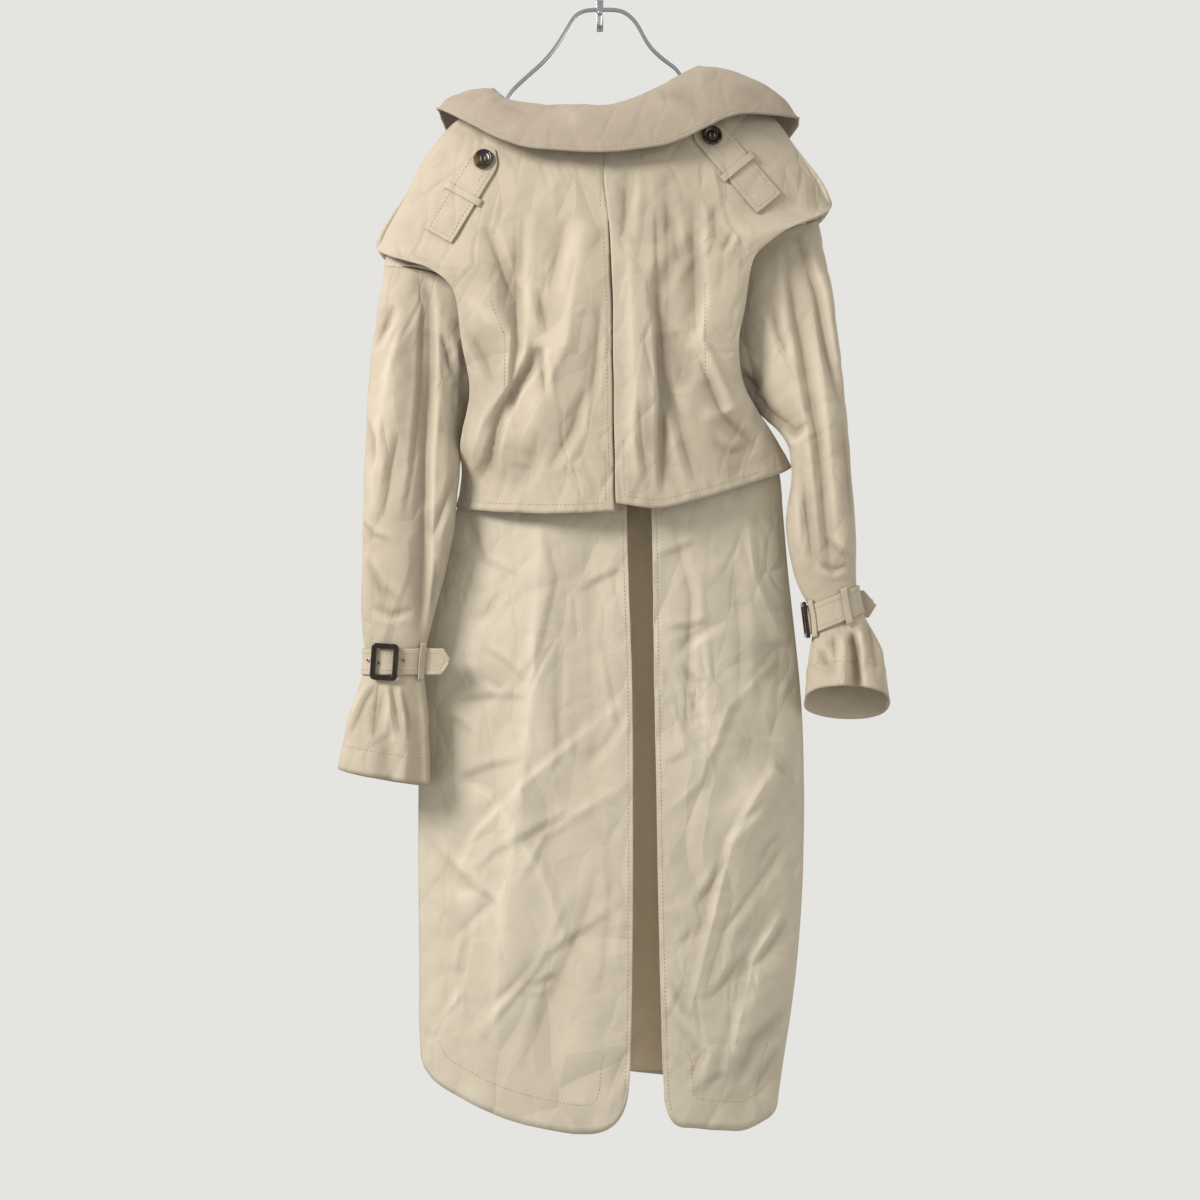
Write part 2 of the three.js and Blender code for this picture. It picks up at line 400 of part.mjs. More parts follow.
/** y of a grid over a place, on the facet furthest to the side given, or null where it has none. */
function liftOn(grid, x, z, side) {
  let best = null;
  const inside = (a, b, c) => {
    const area = (b.x - a.x) * (c.z - a.z) - (c.x - a.x) * (b.z - a.z);
    if (Math.abs(area) < 1e-9) return;
    const v = ((x - a.x) * (c.z - a.z) - (c.x - a.x) * (z - a.z)) / area;
    const w = ((b.x - a.x) * (z - a.z) - (x - a.x) * (b.z - a.z)) / area;
    if (v < -1e-6 || w < -1e-6 || v + w > 1 + 1e-6) return;
    const y = a.y + v * (b.y - a.y) + w * (c.y - a.y);
    if (best === null || (y - best) * side > 0) best = y;
  };
  for (let r = 0; r < grid.length - 1; r += 1) {
    for (let c = 0; c < grid[0].length - 1; c += 1) {
      inside(grid[r][c], grid[r + 1][c], grid[r + 1][c + 1]);
      inside(grid[r][c], grid[r + 1][c + 1], grid[r][c + 1]);
    }
  }
  return best;
}

// ---------- armholes ----------
const SIDES = {
  left: { sign: -1, back: BACK_LEFT, cape: CAPE_LEFT, capeFront: CAPE_FRONT_LEFT, sleeve: SLEEVE_LEFT,
    armhole: ARMHOLE_LEFT, sleeveFolds: SLEEVE_LEFT_FOLDS, epaulet: EPAULET_LEFT, cuff: CUFF_LEFT },
  right: { sign: 1, back: BACK_RIGHT, cape: CAPE_RIGHT, capeFront: CAPE_FRONT_RIGHT, sleeve: SLEEVE_RIGHT,
    armhole: ARMHOLE_RIGHT, sleeveFolds: SLEEVE_RIGHT_FOLDS, epaulet: EPAULET_RIGHT, cuff: CUFF_RIGHT },
};

/** Height of a flat oval at an angle that runs from its outer end, over the near side, and back. */
const ovalHeight = (angle) => Math.sign(Math.sin(angle)) * Math.abs(Math.sin(angle)) ** FLATTEN;

/** Point of the armhole seam: near is 1 on the back panel's side and -1 on the front panel's. */
function armholePoint(side, share, near) {
  const spot = readRow(side.armhole, share * (side.armhole.length - 1));
  const height = Math.sin(Math.PI * share) ** FLATTEN;
  return vec(spot.x, SEAM_PLANE - near * ARMHOLE_HALF_DEPTH * height, spot.z);
}

/** Way from a point of the armhole seam towards the inside of the sleeve. */
function armholeInward(side, share, near) {
  const height = Math.sin(Math.PI * share);
  const outEnd = side.armhole[0];
  const inEnd = side.armhole[side.armhole.length - 1];
  const across = vec(inEnd.x - outEnd.x, 0, inEnd.z - outEnd.z).normalize();
  return across.multiplyScalar(Math.cos(Math.PI * share)).add(vec(0, near * height, 0));
}

/** Way across the armhole seam, from the sleeve into the body panel. */
function armholeToBody(side, share) {
  const step = 0.01;
  const from = armholePoint(side, Math.max(share - step, 0), 1);
  const to = armholePoint(side, Math.min(share + step, 1), 1);
  return vec(-side.sign * Math.abs(to.z - from.z), 0, Math.abs(to.x - from.x)).normalize();
}

/** A body panel's edge: the armhole's seam line at a share of it, moved into the panel. */
function armholeEdge(side, share, near) {
  const edge = armholePoint(side, share, near).addScaledVector(armholeToBody(side, share), 3 * SEAM);
  const rim = SEAM_PLANE - near * SEAM / 2;
  edge.y = near > 0 ? Math.min(edge.y, rim) : Math.max(edge.y, rim);
  return edge;
}

/** A body table's row at a place, with the armhole's own line as its edge along the armhole. */
function bodyRow(side, table, place, near) {
  const row = readRow(table, place);
  const { from, to } = ARMHOLE_ROWS;
  if (!side || place < from || place > to) return { ...row, onArmhole: false };
  const share = (place - from) / (to - from);
  const edge = armholeEdge(side, share, near);
  return { ...row, edgeX: edge.x, edgeY: edge.y, edgeZ: edge.z, onArmhole: true, share };
}

/** Body rows with the armhole's points put in as edges, read smoothly. */
function bodyRows(side, near) {
  return side.back.map((row, i) => {
    const rim = vec(row.edgeX, SEAM_PLANE - near * SEAM / 2, row.edgeZ);
    const share = (i - ARMHOLE_ROWS.from) / (ARMHOLE_ROWS.to - ARMHOLE_ROWS.from);
    const edge = share >= 0 && share <= 1 ? armholeEdge(side, share, near) : rim;
    return { ...row, edgeX: edge.x, edgeY: edge.y, edgeZ: edge.z };
  });
}

// ---------- panels ----------
const ENDS = [['edgeX', 'edgeZ'], ['foldX', 'foldZ']];

/** Grid of a panel whose rows run from edge to fold. */
function panelGrid(table, { shares, folds, near, pitch, side = null, drop = null }) {
  return rowPlaces(table, ENDS, { pitch, armhole: side !== null }).map((place) => {
    const row = bodyRow(side, table, place, near);
    const dropped = clamp01((place - table.length + 1 + HEM_ROWS) / HEM_ROWS) ** 2;
    return shares.map((share, c) => {
      const x = mix(row.edgeX, row.foldX, share);
      const z = mix(row.edgeZ, row.foldZ, share) - (drop ? drop[c] * dropped : 0);
      const depth = mix(row.edgeY, row.face, swell(share));
      const push = foldDepth(folds, x, z) * clamp01(share * 6);
      return vec(x, depth + near * push, z);
    });
  });
}

/** At the shoulder and side seams the wall's rim stays in the seam's plane. */
function seamRim(table, grid, { near, pitch, side = null }) {
  const places = rowPlaces(table, ENDS, { pitch, armhole: side !== null });
  return (r, c) => {
    if (c !== 0) return null;
    const row = bodyRow(side, table, places[r], near);
    if (row.onArmhole) return armholeInward(side, row.share, near);
    if (Math.abs(row.edgeY - SEAM_PLANE) > 4) return vec(0, near, 0);
    const before = grid[Math.max(r - 1, 0)][0];
    const after = grid[Math.min(r + 1, grid.length - 1)][0];
    const along = after.clone().sub(before).setY(0).normalize();
    const inwards = vec(-along.z, 0, along.x);
    const toFold = grid[r][1].clone().sub(grid[r][0]).setY(0);
    return inwards.dot(toFold) < 0 ? inwards.negate() : inwards;
  };
}

const coat = new THREE.Group();
const piece = (name, geometry, material) => {
  const mesh = new THREE.Mesh(geometry, material);
  mesh.name = name;
  coat.add(mesh);
  return mesh;
};

const grids = {};
for (const [name, side] of Object.entries(SIDES)) {
  const table = bodyRows(side, 1);
  const grid = panelGrid(table, { shares: BACK_SHARES, folds: BACK_FOLDS, near: 1, side, drop: HEM_DROP[name] });
  grids[`back_${name}`] = grid;
  piece(`back_${name}`, wall(grid, { turn: -side.sign, inward: seamRim(table, grid, { near: 1, side }) }), COLOURS.back);
}

/** Front panel's rows: the back's seams, with the overlapping front edge as fold. */
function frontRows(name, side) {
  const rows = bodyRows(side, -1);
  const waist = rows[ARMHOLE_ROWS.to].foldZ;
  const hem = rows[rows.length - 1].foldZ;
  return rows.map((row, i) => {
    const upper = mix(FRONT_NECK_Z, waist, clamp01(i / ARMHOLE_ROWS.to) ** 1.6);
    const lower = mix(waist, FRONT_HEM_Z, (row.foldZ - waist) / (hem - waist));
    return { ...row, foldX: FRONT_EDGE[name], foldZ: i < ARMHOLE_ROWS.to ? upper : lower, face: FRONT_FACE[name] };
  });
}
for (const [name, side] of Object.entries(SIDES)) {
  const table = frontRows(name, side);
  const pitch = 90;
  const grid = panelGrid(table, { shares: spread(6), folds: FRONT_FOLDS, near: -1, pitch, side });
  grids[`front_${name}`] = grid;
  piece(`front_${name}`, wall(grid, { turn: side.sign, inward: seamRim(table, grid, { near: -1, pitch, side }) }), COLOURS.front);
}

for (const [name, side] of Object.entries(SIDES)) {
  for (const [part, near, table] of [['cape_back', 1, side.cape], ['cape_front', -1, side.capeFront]]) {
    const rimPlane = SEAM_PLANE - near * SEAM / 2;
    const rows = table.map((row) => ({ ...row, edgeY: row.edgeY === SEAM_PLANE ? rimPlane : row.edgeY }));
    const pitch = near > 0 ? 32 : 60;
    const grid = near > 0 ? panelGrid(rows, { shares: spread(11), folds: CAPE_FOLDS, near, pitch, drop: CAPE_HEM_DROP[name] })
      : panelGrid(rows, { shares: spread(5), folds: [], near, pitch });
    grids[`${part}_${name}`] = grid;
    piece(`${part}_${name}`, wall(grid, { turn: -near * side.sign, inward: seamRim(rows, grid, { near, pitch }) }), COLOURS.cape);
  }
}

// ---------- pleat underlays ----------
/** Trough that joins two panels behind an open pleat: it lies on their backs and dips between. */
function underlay(left, right, { from, to, steps, lap, dip, gap }) {
  const grid = [];
  for (let i = 0; i <= steps; i += 1) {
    const z = mix(from, to, i / steps);
    const edgeOf = (panel) => {
      const line = panel.map((row) => row[row.length - 1]);
      const k = Math.max(line.findIndex((point) => point.z <= z), 1);
      return mix(line[k - 1].x, line[k].x, clamp01((line[k - 1].z - z) / (line[k - 1].z - line[k].z)));
    };
    const leftX = edgeOf(left);
    const rightX = edgeOf(right);
    const behind = (panel, x) => liftOn(panel, x, z, -1) + CLOTH + gap;
    const floor = behind(left, leftX - 2) + dip;
    grid.push([
      vec(leftX - lap, behind(left, leftX - lap), z), vec(leftX - lap * 0.7, behind(left, leftX - lap * 0.7) + 1, z),
      vec(leftX - lap * 0.35, mix(behind(left, leftX - 2), floor, 0.8), z), vec(leftX, floor, z),
      vec(rightX, floor, z), vec(rightX + lap * 0.35, mix(behind(right, rightX + 2), floor, 0.8), z),
      vec(rightX + lap * 0.7, behind(right, rightX + lap * 0.7) + 1, z),
      vec(rightX + lap, behind(right, rightX + lap), z),
    ]);
  }
  return wall(grid, { turn: 1 });
}
piece('back_pleat', underlay(grids.back_left, grids.back_right, { from: -480, to: -1168, steps: 11, lap: 42, dip: 26, gap: 1.7 }), COLOURS.pleat);
piece('cape_pleat', underlay(grids.cape_back_left, grids.cape_back_right, { from: -236, to: -536, steps: 6, lap: 20, dip: 7, gap: 0.9 }), COLOURS.pleat);

// ---------- sleeves ----------
const SLEEVE_COLUMNS = 18;
const TOP_RINGS = 3; // rings of the grid between the armhole seam and the first table row

/** Point of a sleeve's ring at a place in its table and an angle, before the folds. */
function ringPoint(side, place, angle) {
  const row = readRow(side.sleeve, place);
  const share = (1 - Math.cos(angle)) / 2;
  const height = ovalHeight(angle);
  const tip = height > 0 ? row.lift * height : row.drop * height;
  return vec(mix(row.outX, row.inX, share), row.depth - row.half * height, mix(row.outZ, row.inZ, share) + tip);
}

/** Sleeve point with its folds: place below 0 lies between the armhole seam and the first ring. */
function sleevePoint(side, place, angle) {
  const point = ringPoint(side, Math.max(place, 0), angle);
  if (place < 0) {
    const turnShare = angle <= Math.PI ? angle / Math.PI : 2 - angle / Math.PI;
    const seam = armholePoint(side, turnShare, angle <= Math.PI ? 1 : -1);
    point.lerp(seam, -place);
  }
  const height = Math.abs(Math.sin(angle));
  const folds = angle <= Math.PI ? side.sleeveFolds : SLEEVE_BACK_FOLDS;
  const push = foldDepth(folds, point.x, point.z) * clamp01(height * 1.8) * clamp01(1 + place);
  point.y += angle <= Math.PI ? push : -push;
  return point;
}
const sleeveAngles = Array.from({ length: SLEEVE_COLUMNS }, (_, i) => (2 * Math.PI * i) / SLEEVE_COLUMNS);
for (const [name, side] of Object.entries(SIDES)) {
  const places = Array.from({ length: TOP_RINGS }, (_, i) => -1 + i / TOP_RINGS)
    .concat(rowPlaces(side.sleeve, [['outX', 'outZ'], ['inX', 'inZ']], { pitch: 40 }));
  const grid = places.map((place) => sleeveAngles.map((angle) => sleevePoint(side, place, angle)));
  const inward = (r, c) => {
    if (r > 0) return null;
    const angle = sleeveAngles[c];
    const share = angle <= Math.PI ? angle / Math.PI : 2 - angle / Math.PI;
    return armholeInward(side, share, angle <= Math.PI ? 1 : -1);
  };
  grids[`sleeve_${name}`] = grid;
  piece(`sleeve_${name}`, wall(grid, { round: true, inward, turn: -side.sign }), COLOURS.sleeve);
}

// ---------- collar ----------
const COLLAR_STEPS = 23;
const LEAF_STEPS = 5;
const NECK_SEAM = 1.8; // the stand's lower edge stands this far above the panels' top edges

/** Point of a panel's top edge at an x. */
function topEdge(panel, x) {
  const line = [...panel[0]].sort((a, b) => a.x - b.x);
  const k = Math.min(Math.max(line.findIndex((point) => point.x >= x), 1), line.length - 1);
  return line[k - 1].clone().lerp(line[k], clamp01((x - line[k - 1].x) / (line[k].x - line[k - 1].x)));
}
const stations = Array.from({ length: COLLAR_STEPS + 1 }, (_, i) => {
  const place = (i / COLLAR_STEPS) * (COLLAR.length - 1);
  const row = readRow(COLLAR, place);
  const side = row.neckX < 4 ? 'left' : 'right';
  const onFront = place < COLLAR_SHOULDERS.left || place > COLLAR_SHOULDERS.right;
  const neck = topEdge(grids[`${onFront ? 'front' : 'back'}_${side}`], row.neckX);
  return { ...row, neck: neck.add(vec(0, 0, NECK_SEAM)), fold: vec(row.foldX, row.foldY, row.foldZ) };
});
const outward = stations.map((_, i) => {
  const before = stations[Math.max(i - 1, 0)].fold;
  const after = stations[Math.min(i + 1, COLLAR_STEPS)].fold;
  return vec(after.y - before.y, before.x - after.x, 0).normalize();
});
const standGrid = stations.map((row) => [row.neck, row.neck.clone().lerp(row.fold, 0.4), row.neck.clone().lerp(row.fold, STAND_SHARE)]);
piece('collar_stand', wall(standGrid, { turn: -1 }), COLOURS.collar);
const leafGrid = stations.map((row, i) => Array.from({ length: LEAF_STEPS + 1 }, (_, step) => {
  const share = (step / LEAF_STEPS) ** 1.2;
  const reach = mix(share, Math.sin(Math.PI * share * 0.5), 0.5);
  const roll = COLLAR_ROLL * Math.sin(Math.min(share * 5, 1) * Math.PI * 0.5);
  const drop = (row.rimZ - row.foldZ) * share ** 1.5;
  return vec(mix(row.foldX, row.rimX, reach), mix(row.foldY, row.rimY, reach), row.foldZ + drop)
    .addScaledVector(outward[i], roll);
}));
piece('collar_leaf', wall(leafGrid, { turn: 1 }), COLOURS.collar);

// ---------- straps that lie on the cape ----------
/** Grid of a strap along a line, lying on a surface whose y is given; its tip may be pointed. */
function layStrap(height, from, to, { half, steps, out, thick, point = 0 }) {
  const along = new THREE.Vector2(to[0] - from[0], to[1] - from[1]);
  const length = along.length();
  along.normalize();
  const grid = [];
  for (let i = 0; i <= steps; i += 1) {
    const share = i / steps;
    const place = share * length;
    const taper = point > 0 ? clamp01((length - place) / point) : 1;
    const width = half * (0.25 + 0.75 * taper);
    grid.push([-1, -0.5, 0, 0.5, 1].map((across) => {
      const x = from[0] + along.x * place - along.y * width * across;
      const z = from[1] + along.y * place + along.x * width * across;
      return vec(x, height(x, z) - out - thick, z);
    }));
  }
  return grid;
}
const LOOP = { half: 4, thick: 1.5, beside: 1.8, foot: 4 };

/** Grid of a keeper loop that crosses a strap and comes down on the cloth at both sides of it. */
function keeperGrid(strap, ground, base, tip, at, half) {
  const along = new THREE.Vector2(tip[0] - base[0], tip[1] - base[1]).normalize();
  const clear = half + LOOP.beside;
  const stops = [-clear - LOOP.foot, -clear, -half / 2, 0, half / 2, clear, clear + LOOP.foot];
  return stops.map((across, i) => [-LOOP.half, 0, LOOP.half].map((way) => {
    const spot = (reach) => [at[0] + along.x * way - along.y * reach, at[1] + along.y * way + along.x * reach];
    const [x, z] = spot(across);
    const [nearX, nearZ] = spot(Math.min(Math.max(across, -half * 0.97), half * 0.97));
    const foot = i === 0 || i === stops.length - 1;
    const y = foot ? ground(x, z) : liftOn(strap, nearX, nearZ, -1);
    return vec(x, y - LIE - LOOP.thick, z);
  }));
}
for (const [name, side] of Object.entries(SIDES)) {
  const panel = grids[`cape_back_${name}`];
  const { base, tip, keeper, button } = side.epaulet;
  const onCape = (x, z) => liftOn(panel, x, z, -1);
  const strap = layStrap(onCape, base, tip, { half: EPAULET_HALF, steps: 9, out: LIE, thick: STRAP, point: 16 });
  piece(`epaulet_${name}`, wall(strap, { thick: STRAP, turn: 1 }), COLOURS.strap);
  const onAxis = (share) => [mix(base[0], tip[0], share), mix(base[1], tip[1], share)];
  const loop = keeperGrid(strap, onCape, base, tip, onAxis(keeper), EPAULET_HALF);
  piece(`epaulet_loop_${name}`, wall(loop, { thick: LOOP.thick, turn: -1 }), COLOURS.strap);
  const onStrap = (x, z) => liftOn(strap, x, z, -1) ?? onCape(x, z);
  addButton(`epaulet_button_${name}`, onStrap, onAxis(button), BUTTON, -1);
}

// ---------- buttons ----------
/** Round button with a raised rim and a closed back, lying on a surface whose y is given. */
function addButton(name, height, place, size, side) {
  const profile = [
    [0, 0], [size.radius * 0.8, 0], [size.radius, size.thick * 0.35], [size.radius * 0.96, size.thick],
    [size.radius - size.rim * 2, size.thick], [size.radius * 0.55, size.thick - size.rim], [0, size.thick - size.rim],
  ].map(([radius, height]) => new THREE.Vector2(radius, height));
  const geometry = new THREE.LatheGeometry(profile, 12);
  const reach = size.radius * 0.8;
  const y = (dx, dz) => height(place[0] + dx, place[1] + dz);
  const slopeX = (y(reach, 0) - y(-reach, 0)) / (2 * reach);
  const slopeZ = (y(0, reach) - y(0, -reach)) / (2 * reach);
  const out = vec(slopeX, -1, slopeZ).multiplyScalar(-side).normalize();
  const mesh = piece(name, weld(geometry), COLOURS.horn);
  mesh.quaternion.setFromUnitVectors(vec(0, 1, 0), out);
  mesh.position.set(place[0], y(0, 0), place[1]).addScaledVector(out, LIE);
}

/** The same geometry with its shared points joined. */
function weld(geometry) {
  const bare = geometry.clone();
  bare.deleteAttribute('normal');
  bare.deleteAttribute('uv');
  return mergeVertices(bare, 1e-4);
}
for (const [c, x] of FRONT_BUTTONS.columns.entries()) {
  for (const [r, z] of FRONT_BUTTONS.rows.entries()) {
    addButton(`front_button_${c + 1}_${r + 1}`, (x0, z0) => liftOn(grids.front_right, x0, z0, 1), [x, z], FRONT_BUTTON, 1);
  }
}

// ---------- cuff straps ----------
const degrees = (angle) => (angle * Math.PI) / 180;

/** Point of a sleeve moved straight out from its surface. */
function offSleeve(side, place, angle, out) {
  const step = 0.02;
  const here = sleevePoint(side, place, wrapped(angle));
  const along = sleevePoint(side, place, wrapped(angle + step)).sub(sleevePoint(side, place, wrapped(angle - step)));
  const row = readRow(side.sleeve, place);
  const middle = vec((row.outX + row.inX) / 2, row.depth, here.z);
  const way = vec(along.y, -along.x, 0).normalize();
  if (way.dot(here.clone().sub(middle)) < 0) way.negate();
  return here.addScaledVector(way, out);
}
const wrapped = (angle) => ((angle % (2 * Math.PI)) + 2 * Math.PI) % (2 * Math.PI);

/** Grid of a cuff strap: round the sleeve from its sewn end, then on as a free pointed tail. */
function cuffStrap(side, cuff) {
  const columnStep = 360 / SLEEVE_COLUMNS;
  const places = [CUFF_PLACES.top, CUFF_PLACES.middle, CUFF_PLACES.bottom];
  const grid = [];
  for (let angle = cuff.from; angle <= cuff.to; angle += columnStep) {
    grid.push(places.map((place) => offSleeve(side, place, degrees(angle), CUFF_LIE + STRAP)));
  }
  const last = grid[grid.length - 1];
  for (const [share, narrow] of [[0.35, 1], [0.72, 1], [1, 0.15]]) {
    grid.push(last.map((point) => vec(point.x + cuff.tailWay[0] * cuff.tail * share,
      point.y + cuff.tailWay[1] * cuff.tail * share, mix(last[1].z, point.z, narrow))));
  }
  return grid;
}

/** Grid of a keeper loop that crosses a cuff strap in the middle of one of the sleeve's facets. */
function cuffLoop(side, angle) {
  const columnStep = 360 / SLEEVE_COLUMNS;
  const facet = Math.floor(angle / columnStep) * columnStep;
  const over = CUFF_LIE + STRAP + LIE + LOOP.thick;
  const stops = [[CUFF_PLACES.loopTop, LIE + LOOP.thick], [CUFF_PLACES.top - 0.06, over], [CUFF_PLACES.middle, over],
    [CUFF_PLACES.bottom + 0.06, over], [CUFF_PLACES.loopBottom, LIE + LOOP.thick]];
  return stops.map(([place, out]) => [0.15, 0.5, 0.85].map((share) => {
    const from = offSleeve(side, place, degrees(facet), out);
    return from.lerp(offSleeve(side, place, degrees(facet + columnStep), out), share);
  }));
}

/** Buckle: a rectangular frame with rounded corners, flat on XY, its back at z = 0. */
function buckleGeometry() {
  const frame = roundedBox(new THREE.Shape(), BUCKLE.width, BUCKLE.height, BUCKLE.corner);
  frame.holes.push(roundedBox(new THREE.Path(), BUCKLE.width - 2 * BUCKLE.bar, BUCKLE.height - 2 * BUCKLE.bar, 1.5));
  return weld(new THREE.ExtrudeGeometry(frame, { depth: BUCKLE.thick, bevelEnabled: false, curveSegments: 3 }));
}

/** Rounded rectangle drawn on a path, with its middle at the origin. */
function roundedBox(path, width, height, corner) {
  const x = width / 2 - corner;
  const y = height / 2 - corner;
  path.moveTo(-x, -y - corner);
  path.lineTo(x, -y - corner);
  path.absarc(x, -y, corner, -Math.PI / 2, 0);
  path.absarc(x, y, corner, 0, Math.PI / 2);
  path.absarc(-x, y, corner, Math.PI / 2, Math.PI);
  path.absarc(-x, -y, corner, Math.PI, Math.PI * 1.5);
  return path;
}
/** Lays a buckle flat on the cuff strap at an angle round the sleeve. */
function seatBuckle(buckle, side, at) {
  const out = CUFF_LIE + STRAP + LIE;
  const step = 6;
  const spot = (place, angle) => offSleeve(side, place, degrees(angle), out);
  const top = spot(CUFF_PLACES.top, at);
  const bottom = spot(CUFF_PLACES.bottom, at);
  const middle = spot(CUFF_PLACES.middle, at);
  const up = top.clone().sub(bottom).normalize();
  const across = spot(CUFF_PLACES.middle, at + step).sub(spot(CUFF_PLACES.middle, at - step));
  across.addScaledVector(up, -across.dot(up)).normalize();
  const outOf = across.clone().cross(up);
  const beyond = middle.clone().sub(offSleeve(side, CUFF_PLACES.middle, degrees(at), 0));
  if (outOf.dot(beyond) < 0) {
    across.negate();
    outOf.negate();
  }
  buckle.quaternion.setFromRotationMatrix(new THREE.Matrix4().makeBasis(across, up, outOf));
  const chord = top.clone().add(bottom).multiplyScalar(0.5);
  buckle.position.copy(chord.clone().sub(middle).dot(outOf) > 0 ? chord : middle);
}
for (const [name, side] of Object.entries(SIDES)) {
  const { cuff } = side;
  piece(`cuff_strap_${name}`, wall(cuffStrap(side, cuff), { thick: STRAP, turn: side.sign }), COLOURS.strap);
  cuff.keepers.forEach((angle, i) => {
    const turn = -side.sign;
    piece(`cuff_loop_${name}_${i + 1}`, wall(cuffLoop(side, angle), { thick: LOOP.thick, turn }), COLOURS.strap);
  });
  const buckle = piece(`cuff_buckle_${name}`, buckleGeometry(), COLOURS.horn);
  seatBuckle(buckle, side, cuff.buckleAt);
}

// ---------- hanger and wall hook ----------
/** Middle of the wire where it carries a shoulder seam from below. */
function underShoulder(side, place) {
  const table = side.back;
  const row = readRow(table, place);
  const next = readRow(table, place + 0.05);
  const along = vec(next.edgeX - row.edgeX, 0, next.edgeZ - row.edgeZ).normalize();
  const below = vec(along.z, 0, -along.x);
  if (below.z > 0) below.negate();
  return vec(row.edgeX, WIRE_PLANE, row.edgeZ).addScaledVector(below, CLOTH + WIRE_RADIUS + WIRE_WEDGE);
}
const shoulderPlaces = [2.9, 2.4, 1.8, 1.2, 0.6];
const wirePath = new THREE.CatmullRomCurve3([
  ...shoulderPlaces.map((place) => underShoulder(SIDES.left, place)),
  ...WIRE_TOP.map(({ x, z }) => vec(x, WIRE_PLANE, z)),
  ...shoulderPlaces.toReversed().map((place) => underShoulder(SIDES.right, place)),
], false, 'centripetal');
const wireSection = new THREE.Shape().absarc(0, 0, WIRE_RADIUS, 0, 2 * Math.PI);
piece('hanger_wire', weld(new THREE.ExtrudeGeometry(wireSection, { extrudePath: wirePath, steps: 44, curveSegments: 4 })), COLOURS.chrome);

const pegZ = Math.max(...WIRE_TOP.map(({ z }) => z)) - WIRE_RADIUS - SEAM - PEG.radius;
const pegLength = -PEG.ballPlane - PLATE.thick - SEAM;
const BALL_STEPS = 6;
const ballProfile = Array.from({ length: BALL_STEPS + 1 }, (_, i) => {
  const angle = mix(Math.asin(PEG.radius / PEG.ball), Math.PI, i / BALL_STEPS);
  return new THREE.Vector2(i < BALL_STEPS ? PEG.ball * Math.sin(angle) : 0, pegLength - PEG.ball * Math.cos(angle));
});
const pegProfile = [new THREE.Vector2(0, 0), new THREE.Vector2(PEG.radius, 0), ...ballProfile];
const peg = piece('hook_peg', weld(new THREE.LatheGeometry(pegProfile, 12)), COLOURS.chrome);
peg.rotation.x = Math.PI;
peg.position.set(0, -PLATE.thick - SEAM, pegZ);
const plate = piece('hook_plate', new THREE.BoxGeometry(PLATE.width, PLATE.thick, PLATE.height), COLOURS.chrome);
plate.position.set(0, -PLATE.thick / 2, HANGER_DROP);

coat.position.z = -HANGER_DROP;
export default coat;
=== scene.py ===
"""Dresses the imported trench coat: cloth skins, stitching, buttons, buckles, hanger, light and camera.

Sizes in the tables are millimetres of the coat itself: x to the right and z up, seen from the coat's back.
"""
from __future__ import annotations

import json
import logging
import math
from collections.abc import Callable, Iterable, Sequence
from dataclasses import dataclass, field
from enum import Enum

import bmesh
import bpy
import numpy as np
from mathutils import Matrix, Vector, noise
from mathutils.bvhtree import BVHTree
from mathutils.kdtree import KDTree

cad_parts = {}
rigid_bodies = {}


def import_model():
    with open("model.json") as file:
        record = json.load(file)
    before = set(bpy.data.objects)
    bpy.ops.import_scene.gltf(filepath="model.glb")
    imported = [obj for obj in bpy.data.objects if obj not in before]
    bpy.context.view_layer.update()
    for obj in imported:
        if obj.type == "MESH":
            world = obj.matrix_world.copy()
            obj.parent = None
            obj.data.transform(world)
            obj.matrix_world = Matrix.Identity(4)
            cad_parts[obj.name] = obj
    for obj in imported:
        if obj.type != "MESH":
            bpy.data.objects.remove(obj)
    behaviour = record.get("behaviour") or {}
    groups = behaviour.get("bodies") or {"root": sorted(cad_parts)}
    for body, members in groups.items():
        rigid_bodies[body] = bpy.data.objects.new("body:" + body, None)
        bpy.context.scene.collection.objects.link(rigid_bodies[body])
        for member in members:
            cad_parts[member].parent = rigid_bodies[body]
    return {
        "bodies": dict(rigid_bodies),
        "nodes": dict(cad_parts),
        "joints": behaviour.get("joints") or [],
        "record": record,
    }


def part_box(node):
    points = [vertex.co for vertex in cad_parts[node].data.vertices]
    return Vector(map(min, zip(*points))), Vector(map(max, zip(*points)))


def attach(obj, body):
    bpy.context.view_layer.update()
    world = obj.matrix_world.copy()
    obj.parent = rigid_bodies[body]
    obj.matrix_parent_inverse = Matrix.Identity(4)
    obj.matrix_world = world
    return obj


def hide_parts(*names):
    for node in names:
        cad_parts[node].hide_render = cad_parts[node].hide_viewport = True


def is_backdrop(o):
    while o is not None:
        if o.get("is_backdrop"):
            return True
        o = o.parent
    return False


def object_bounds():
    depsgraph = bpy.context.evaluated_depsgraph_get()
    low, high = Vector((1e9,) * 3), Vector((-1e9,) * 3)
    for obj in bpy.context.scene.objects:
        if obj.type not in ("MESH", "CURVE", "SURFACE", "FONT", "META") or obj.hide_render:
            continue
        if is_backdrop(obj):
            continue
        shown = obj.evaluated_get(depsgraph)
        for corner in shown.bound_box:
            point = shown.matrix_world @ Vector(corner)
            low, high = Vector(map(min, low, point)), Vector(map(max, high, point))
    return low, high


LOG = logging.getLogger("coat")
MM = 0.001
BODY = "root"
CLOTH_WALL = 2.0
KEEPER_WALL = 1.5
CREASE_ROUND = 0.7  # radius at the bottom of a sharp crease, in millimetres
SEWN = 0.75  # edges closer than this are sewn together, in millimetres
FINE_HALF = 7.0  # creases up to this half width get finer faces
SHARP_CORNER = math.radians(35.0)  # an edge of a sheet that turns more than this keeps its point
